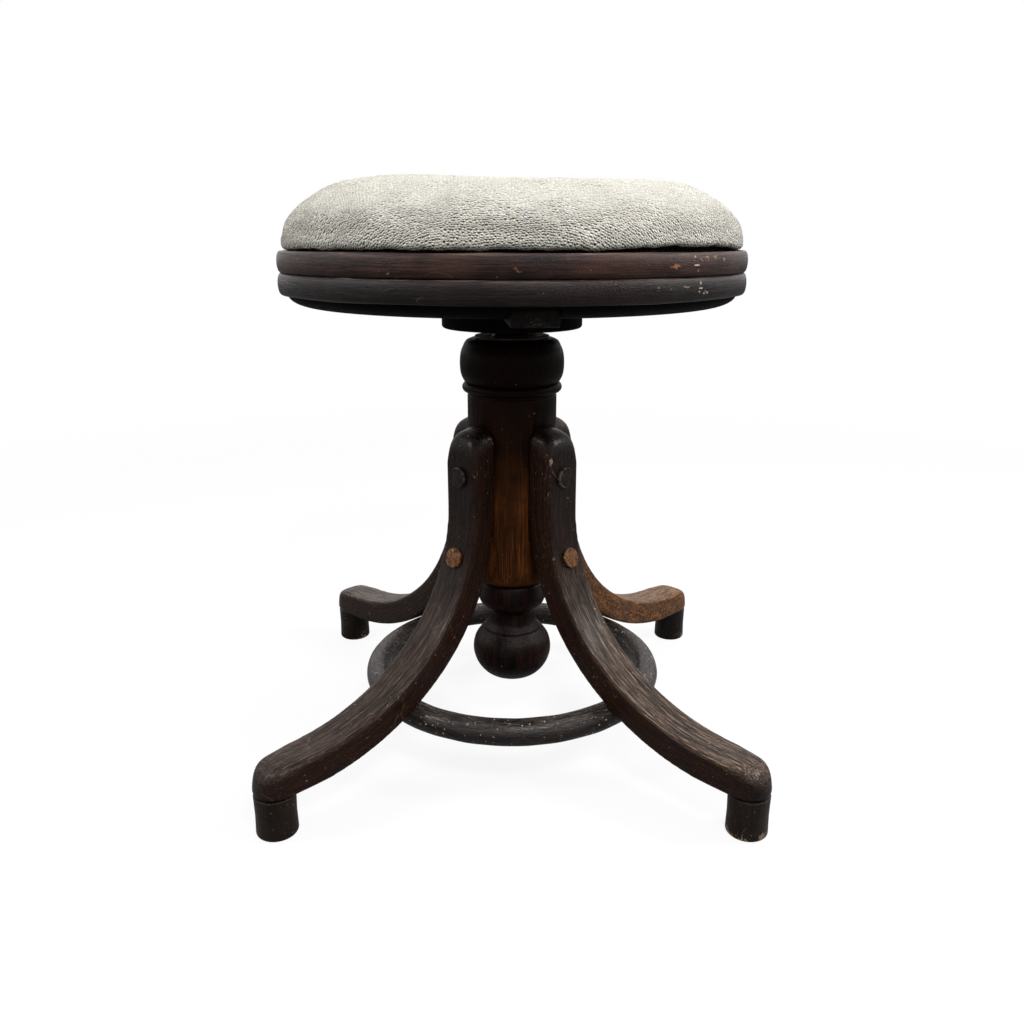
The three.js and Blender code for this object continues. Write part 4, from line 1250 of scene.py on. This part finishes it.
# Underside of the seat: crossbar, hub and board
crossbarLow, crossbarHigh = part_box("crossbar")
boardLow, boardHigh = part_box("seat_board")
crossbar = {
    "width": 0.031,
    "reach": 0.168,
    "bottom": crossbarLow.z,
    "top": crossbarHigh.z,
    "corner": 0.0030,
    "arris": 0.0010,
    "turn": 5,
    "grainAxis": "y",
    "wear": (60, 300),
}
hub = {
    "radius": hubHigh.x,
    "bottom": hubLow.z,
    "top": hubHigh.z,
    "edgeRound": 0.0024,
    "bore": spindle["tenonRadius"] + clearance,
    "sides": 128,
    "grainAxis": "x",
    "wear": (60, 300),
}
board = {
    "radius": boardHigh.x,
    "bottom": boardLow.z,
    "top": boardHigh.z,
    "edgeReach": 0.021,
    "edgeSteps": 14,
    "sides": 160,
    "grainAxis": "x",
    "wear": (60, 300),
}


def cutSlot(piece, halfLength, low, high):  # the crossbar's way through the hub and the board
    slot = slab("slotCut", rectangle(crossbar["width"] / 2 + clearance, halfLength), "z", low, high)
    turnMesh(slot, crossbar["turn"])
    trim(piece, slot, "DIFFERENCE")


def makeHub(shape):
    radius, bottom, top, edge, bore = sizesOf(shape, "radius", "bottom", "top", "edgeRound", "bore")
    piece = turnedPiece("hubTurned", [
        (bore, bottom),
        *arc((radius - edge, bottom + edge), edge, -quarterTurn, 0, 8),
        (radius, top),
        (bore, top),
        (bore, bottom),
    ], shape["sides"])
    cutSlot(piece, radius * 1.1, crossbar["bottom"] - clearance, top + overrun)
    return piece


def makeCrossbar(shape):
    reach, corner, bottom, top = sizesOf(shape, "reach", "corner", "bottom", "top")
    half = shape["width"] / 2
    piece = slab("crossbarShaped", [
        (-reach, top),
        *arc((-reach + corner, bottom + corner), corner, math.pi, math.pi + quarterTurn, 8),
        *arc((reach - corner, bottom + corner), corner, -quarterTurn, 0, 8),
        (reach, top),
    ], "x", -half, half)
    softenEdges(piece, shape["arris"], 3)
    turnMesh(piece, shape["turn"])
    return piece


def makeBoard(shape):
    radius, bottom, top, reach, steps = sizesOf(shape, "radius", "bottom", "top", "edgeReach", "edgeSteps")
    edge = [
        (radius - reach * (1 - math.sin(quarterTurn * i / steps)),
         bottom + (top - bottom) * (1 - math.cos(quarterTurn * i / steps)))
        for i in range(steps + 1)
    ]
    piece = turnedPiece("seatBoardTurned", [(0, bottom), *edge, (0, top)], shape["sides"])
    cutSlot(piece, radius + overrun, bottom - overrun, crossbar["top"] + clearance)
    return piece


# Bent rim of the seat, two half-round beads
rimLow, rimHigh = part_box("seat_rim")
rim = {
    "radius": rimHigh.x,
    "bottom": rimLow.z,
    "top": rimHigh.z,
    "beadDepth": 0.0036,
    "beadFullness": 0.7,
    "beadSteps": 20,
    "inner": 0.164,
    "ledge": 0.154,
    "rebate": 0.014,
    "topRound": 0.0035,
    "unevenness": (0.0005, 0.05),
    "wear": (50, 190),
    "sides": 256,
}


def makeRim(shape):
    bottom, top, inner, ledge, steps = sizesOf(shape, "bottom", "top", "inner", "ledge", "beadSteps")
    side = shape["radius"] - shape["beadDepth"]
    each = (top - bottom) / 2
    beads = []
    for base in (bottom, bottom + each):
        for i in range(steps + 1):
            angle = -quarterTurn + math.pi * i / steps
            bulge = shape["beadDepth"] * abs(math.cos(angle)) ** shape["beadFullness"]
            beads.append((side + bulge, base + each / 2 * (1 + math.sin(angle))))
    edge = shape["topRound"] / 3
    piece = turnedPiece("seatRimBent", [
        (ledge, bottom),
        *beads,
        (side - shape["topRound"], top),
        *arc((inner + edge, top - edge), edge, quarterTurn, math.pi, 4),
        (inner, top - shape["rebate"]),
        (ledge, top - shape["rebate"]),
        (ledge, bottom),
    ], shape["sides"])
    roughen(piece, *shape["unevenness"], seed=1.7)
    keepRingGrain(piece, shape["radius"])
    keepWear(piece, *shape["wear"])
    smoothByAngle(piece, 50)
    finishPiece(piece, "rim", "rim_wood", "seat", "seat_rim")


# Cushion: a closed form drawn small, blown up as cloth, then given its slack, tucks and yarn
cushion = {
    "radius": 0.1755,
    "rise": 0.0500,
    "base": rim["top"] + clearance,
    "drawnIn": 0.0020,
    "shares": (
        (0.935, 0.024), (0.962, 0.026), (0.984, 0.044), (0.997, 0.10), (1, 0.18), (1, 0.30), (0.991, 0.42),
        (0.970, 0.54), (0.938, 0.65), (0.895, 0.75), (0.845, 0.83), (0.785, 0.893), (0.70, 0.940),
        (0.60, 0.968), (0.46, 0.986), (0.28, 0.995), (0, 1),
    ),
    "frontSag": 0.0040,
    "humps": ((-0.088, -0.01, 0.052, 0.0052), (0.128, -0.02, 0.042, 0.0022), (-0.02, 0.09, 0.05, 0.0012)),
    "sides": 96,
    "voxel": 0.0055,
    "subdivisions": 2,
    "heldHeight": 0.0015,
    "pressure": 4,
    "stiffness": 20,
    "bendStiffness": 2,
    "frames": 20,
    "mostMove": 0.0035,
    "tuckRadius": 0.1625,
    "tuckDepth": 0.0115,
    "tuckCorner": 0.006,
    "tuckSpan": (-0.010, -0.005, 0.006, 0.013),
    "turnUnder": (
        (0.1625, -0.010), (0.1625, -0.004), (0.1640, 0.0), (0.1712, 0.0001), (0.1742, 0.0010),
        (0.1753, 0.0028), (0.1755, 0.0060), (0.1755, 0.0110),
    ),
    "waves": ((46, 0.4, 0.5), (28.06, 2.1, 0.7), (78.2, 4.0, 0.35), (11.96, 1.2, 0.6)),
    "waveLift": 0.0004,
    "gap": 0.0010,
    "gapDegrees": (-164, -144, -34, -16),
    "wideGap": 0.0019,
    "wideDegrees": (-72, -52, -40, -14),
    "contact": 0.0001,
    "liftedAbove": -0.003,
    "hiddenReach": (0.1690, 0.1735),
    "hiddenHeight": 0.006,
    "drift": (((0.0020, 0, 61, 0.7), (0.0012, 113, 47, 0)), ((0.0026, 43, 0, 1.9), (0.0011, -71, 97, 0))),
    "yarn": ((1, 230, 430, 0.5), (0.2, 90, 120, 4.5)),
    "yarnLift": 0.00040,
}


def crownLine(shape, inset=0.0):
    return softLine([
        (max(shape["radius"] * radius - inset * min(1, radius * 1.6), 0),
         shape["base"] + shape["rise"] * height - inset * height)
        for radius, height in shape["shares"]
    ])


def blowUp(piece, shape):
    pick(piece)
    rest = meshPoints(piece)
    held = piece.vertex_groups.new(name="held")
    low = np.flatnonzero(rest[:, 2] < shape["base"] + shape["heldHeight"])
    held.add([int(i) for i in low], 1.0, "REPLACE")
    cloth = piece.modifiers.new("Cloth", "CLOTH")
    cloth.settings.use_pressure = True
    cloth.settings.uniform_pressure_force = shape["pressure"]
    cloth.settings.vertex_group_mass = "held"
    cloth.settings.effector_weights.gravity = 0
    cloth.settings.tension_stiffness = shape["stiffness"]
    cloth.settings.compression_stiffness = shape["stiffness"]
    cloth.settings.bending_stiffness = shape["bendStiffness"]
    cloth.point_cache.frame_start = 1
    cloth.point_cache.frame_end = shape["frames"]
    for number in range(1, shape["frames"] + 1):
        bpy.context.scene.frame_set(number)
    bpy.ops.object.modifier_apply(modifier=cloth.name)
    bpy.context.scene.frame_set(1)
    piece.vertex_groups.clear()
    move = meshPoints(piece) - rest
    size = np.maximum(np.linalg.norm(move, axis=1), 1e-9)
    setPoints(piece, rest + move * np.minimum(1, shape["mostMove"] / size)[:, None])
    print("cushion swelled by up to", round(float(size.max()) * 1000, 1), "mm")


def letSink(piece, shape):  # the slack of the old filling: a sagging front edge and a few humps
    points = meshPoints(piece)
    points[:, :2] *= shape["radius"] / np.hypot(points[:, 0], points[:, 1]).max()
    above = np.maximum(0, points[:, 2] - shape["base"]) / (points[:, 2].max() - shape["base"])
    x, y = points[:, 0], points[:, 1]
    lift = -shape["frontSag"] * np.maximum(0, -y / shape["radius"])
    for humpX, humpY, reach, height in shape["humps"]:
        lift += height * np.exp(-((x - humpX) ** 2 + (y - humpY) ** 2) / (2 * reach ** 2))
    crown = shape["base"] + shape["rise"] * above + lift * above ** 2
    points[:, 2] = np.where(above > 0, crown, points[:, 2])
    setPoints(piece, points)


# The cloth turns in over the rim; in front a thin dark gap shows, wider at the right, and the tucked cloth
# is marked for a painted shade
def tuckUnder(piece, shape):
    points = meshPoints(piece)
    angle = np.arctan2(points[:, 1], points[:, 0])
    degrees = np.degrees(angle)
    reach = np.hypot(points[:, 0], points[:, 1])
    height = points[:, 2] - shape["base"]
    waves = sum(np.sin(angle * count + phase) * weight for count, phase, weight in shape["waves"])
    gap = shape["gap"] + waves * shape["waveLift"]
    gap += within(degrees, shape["wideDegrees"]) * shape["wideGap"]
    gap = shape["contact"] + np.maximum(gap, 0) * within(degrees, shape["gapDegrees"])
    line = np.array(softLine(shape["turnUnder"], 12))
    upward = np.maximum(height - gap, height * 0.2)
    lowest, highest = shape["tuckSpan"][0], shape["tuckSpan"][-1]
    isEdge = (reach > shape["tuckRadius"] - shape["tuckCorner"]) & (height < highest) & (height > lowest)
    chosen = np.flatnonzero(isEdge)
    away = (reach[chosen, None] - line[:, 0]) ** 2 + (upward[chosen, None] - line[:, 1]) ** 2
    nearest = line[away.argmin(1)]
    share = within(height[chosen], shape["tuckSpan"])
    newReach = reach[chosen] + (nearest[:, 0] - reach[chosen]) * share
    lifted = np.where(nearest[:, 1] > shape["liftedAbove"], gap[chosen], 0)
    newHeight = height[chosen] + (nearest[:, 1] + lifted - height[chosen]) * share
    points[chosen, :2] *= (newReach / reach[chosen])[:, None]
    points[chosen, 2] = shape["base"] + newHeight
    setPoints(piece, points)
    # marks the tucked-in cloth near the rim for a painted shade
    tucked = 1 - smoothStep(*shape["hiddenReach"], np.hypot(points[:, 0], points[:, 1]))
    keepValues(piece, "tucked", tucked * (points[:, 2] < shape["base"] + shape["hiddenHeight"]))


def keepWeave(piece, shape):  # where each point lay on the flat cloth, in slightly wandering rows
    points = meshPoints(piece)
    line = np.array(crownLine(shape))[::-1]
    run = np.concatenate([[0], np.cumsum(np.linalg.norm(np.diff(line, axis=0), axis=1))])
    reach = np.hypot(points[:, 0], points[:, 1])
    nearest = np.zeros(len(points), np.int64)
    batch = 20000
    for start in range(0, len(points), batch):
        part = slice(start, start + batch)
        away = (reach[part, None] - line[:, 0]) ** 2 + (points[part, 2, None] - line[:, 1]) ** 2
        nearest[part] = away.argmin(1)
    ahead = np.minimum(nearest + 1, len(line) - 1)
    direction = line[ahead] - line[nearest]
    length = np.maximum((direction ** 2).sum(1), 1e-12)
    past = np.stack([reach, points[:, 2]], axis=1) - line[nearest]
    distance = run[nearest] + (past * direction).sum(1) / np.sqrt(length)
    flat = points[:, :2] / np.maximum(reach, 1e-9)[:, None] * distance[:, None]
    x, y = flat.T
    drift = [
        sum(amount * np.sin(x * across + y * up + phase) for amount, across, up, phase in terms)
        for terms in shape["drift"]
    ]
    flat += np.stack(drift, axis=1)
    keepValues(piece, "weave", np.column_stack([flat, np.zeros(len(points))]))
    return flat


def liftYarn(piece, shape, flat):  # lumpy yarn in the shape itself
    points, normals = meshPoints(piece), vertexValues(piece, "normal")
    lift = np.array([
        sum(share * noise.noise(Vector((u * across, v * up, seed)))
            for share, across, up, seed in shape["yarn"])
        for u, v in flat
    ])
    shown = smoothStep(-0.05, 0.02, (points[:, 2] - shape["base"]) / shape["rise"])
    setPoints(piece, points + normals * (lift * shape["yarnLift"] * shown)[:, None])


def makeCushion(shape):
    tuckBottom = shape["base"] - shape["tuckDepth"]
    piece = turnedPiece("cushionCover", [
        (0, tuckBottom),
        (shape["tuckRadius"] - shape["tuckCorner"], tuckBottom),
        (shape["tuckRadius"], tuckBottom + shape["tuckCorner"]),
        (shape["tuckRadius"], shape["base"] - 0.001),
        *crownLine(shape, shape["drawnIn"]),
    ], shape["sides"])
    applyModifier(piece, "REMESH", mode="VOXEL", voxel_size=shape["voxel"])
    applyModifier(piece, "SMOOTH", factor=0.5, iterations=2)
    blowUp(piece, shape)
    letSink(piece, shape)
    applyModifier(piece, "SUBSURF", levels=shape["subdivisions"], render_levels=shape["subdivisions"])
    tuckUnder(piece, shape)
    liftYarn(piece, shape, keepWeave(piece, shape))
    smoothByAngle(piece, 80)
    return piece


# Making the pieces

hiddenWood = ("screw_nut", "crossbar_pin", "pad_board")  # the rest that stays is steel screws and a pin
for name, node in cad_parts.items():
    node.data.materials.clear()
    node.data.materials.append(materials["plain" if name in hiddenWood else "steel"])

columnPiece = makeColumn(column)
cutFlats(columnPiece, column)
softenEdges(columnPiece, column["arris"], 2)
dressPiece(columnPiece, column, "column", "red_stained_wood", "base", "column")
print("column done")

dressPiece(makePendant(pendant), pendant, "pendant", "dark_stained_wood", "base", "pendant")
print("pendant done")

makeLegs(leg)
makeFeet(foot)
makePlugs(plug)
makeRing(ring)
print("legs, feet, plugs and foot ring done")

washerPiece = makeWasher(washer)
smoothByAngle(washerPiece)
finishPiece(washerPiece, "leather", "leather", "washer", "friction_washer")
dressPiece(makeSpindle(spindle), spindle, "screw", "pale_wood", "seat", "spindle")
print("screw and washer done")

dressPiece(makeHub(hub), hub, "black", "black_paint", "seat", "hub")
dressPiece(makeCrossbar(crossbar), crossbar, "crossbar", "dark_stained_wood", "seat", "crossbar")
dressPiece(makeBoard(board), board, "black", "black_paint", "seat", "seat_board")
makeRim(rim)
print("hub, crossbar, board and rim done")

cushionPiece = makeCushion(cushion)
finishPiece(cushionPiece, "fabric", "cover_fabric", "seat", "cover", "padding")
print("cushion done")


# Floor, light and camera
studio = {
    "floorSize": 60,
    "floorColour": (0.90, 0.90, 0.90, 1),
    "floorBounce": (0.30, 0.30, 0.30, 1),
    "floorGlow": (0.89, 1.0),
    "glowReach": (0.7, 1.8),
    "white": (1, 1, 1, 1),
    "worldStrength": 0.38,
    "cameraPlace": (0.0, -0.7371, 0.4139),
    "cameraTip": math.radians(16.77),
    "lens": 31.75,
    "filmWidth": 36,
    "lamps": (
        ("frontKey", (0.34, -1.02, 1.35), (0, 0, 0.28), 0.28, 12.5),
        ("overhead", (0.20, 0.35, 1.55), (0, 0, 0.35), 1.2, 11.4),
        ("leftWindow", (-1.2, -0.35, 1.05), (0, 0, 0.30), 0.35, 8.5),
        ("rightWindow", (1.25, -0.05, 1.05), (0, 0, 0.30), 0.35, 12),
    ),
}


def addFloor(values):  # white to the camera, grey to everything else; it keeps the stool's shadow
    clearSelection()
    bpy.ops.mesh.primitive_plane_add(size=values["floorSize"])
    floor = bpy.context.object
    floor.name = "studioFloor"
    material = bpy.data.materials.new("studioFloor")
    material.use_nodes = True
    tree = material.node_tree
    tree.nodes.clear()
    seen = addNode(tree, "ShaderNodeLightPath").outputs["Is Camera Ray"]
    colour = mixColour(tree, seen, values["floorBounce"], values["floorColour"])
    plain = addNode(tree, "ShaderNodeBsdfDiffuse", {"Color": colour})
    glow = addNode(tree, "ShaderNodeEmission", {"Color": values["white"], "Strength": 1.0})
    away = vectorMath(tree, "LENGTH", objectPlace(tree), output="Value")
    share = times(tree, seen, ranged(tree, away, *values["glowReach"], *values["floorGlow"]))
    both = addNode(tree, "ShaderNodeMixShader", {0: share, 1: plain.outputs[0], 2: glow.outputs[0]})
    addNode(tree, "ShaderNodeOutputMaterial", {"Surface": both.outputs[0]})
    floor.data.materials.append(material)


def addWorld(values):  # seen as white, lights the stool less
    world = bpy.data.worlds.new("studio")
    bpy.context.scene.world = world
    world.use_nodes = True
    tree = world.node_tree
    tree.nodes.clear()
    path = addNode(tree, "ShaderNodeLightPath").outputs
    seen = combine(tree, "ADD", path["Is Camera Ray"], path["Is Glossy Ray"])
    seen = combine(tree, "ADD", seen, path["Is Transmission Ray"])
    soft, white = (
        addNode(tree, "ShaderNodeBackground", {"Color": values["white"], "Strength": strength}).outputs[0]
        for strength in (values["worldStrength"], 1.0)
    )
    both = addNode(tree, "ShaderNodeMixShader", {0: seen, 1: soft, 2: white})
    addNode(tree, "ShaderNodeOutputWorld", {"Surface": both.outputs[0]})


def addLamps(values):
    for name, place, target, size, power in values["lamps"]:
        lamp = bpy.data.lights.new(name, "AREA")
        lamp.size = size
        lamp.energy = power
        holder = bpy.data.objects.new(name, lamp)
        holder.location = place
        holder.rotation_euler = (Vector(target) - Vector(place)).to_track_quat("-Z", "Y").to_euler()
        bpy.context.scene.collection.objects.link(holder)


def addCamera(values):
    data = bpy.data.cameras.new("camera")
    data.lens = values["lens"]
    data.sensor_width = values["filmWidth"]
    camera = bpy.data.objects.new("camera", data)
    camera.location = values["cameraPlace"]
    camera.rotation_euler = (quarterTurn - values["cameraTip"], 0, 0)
    bpy.context.scene.collection.objects.link(camera)
    bpy.context.scene.camera = camera


addFloor(studio)
addWorld(studio)
addLamps(studio)
addCamera(studio)
bpy.context.scene.view_settings.view_transform = "Standard"
print("studio done")
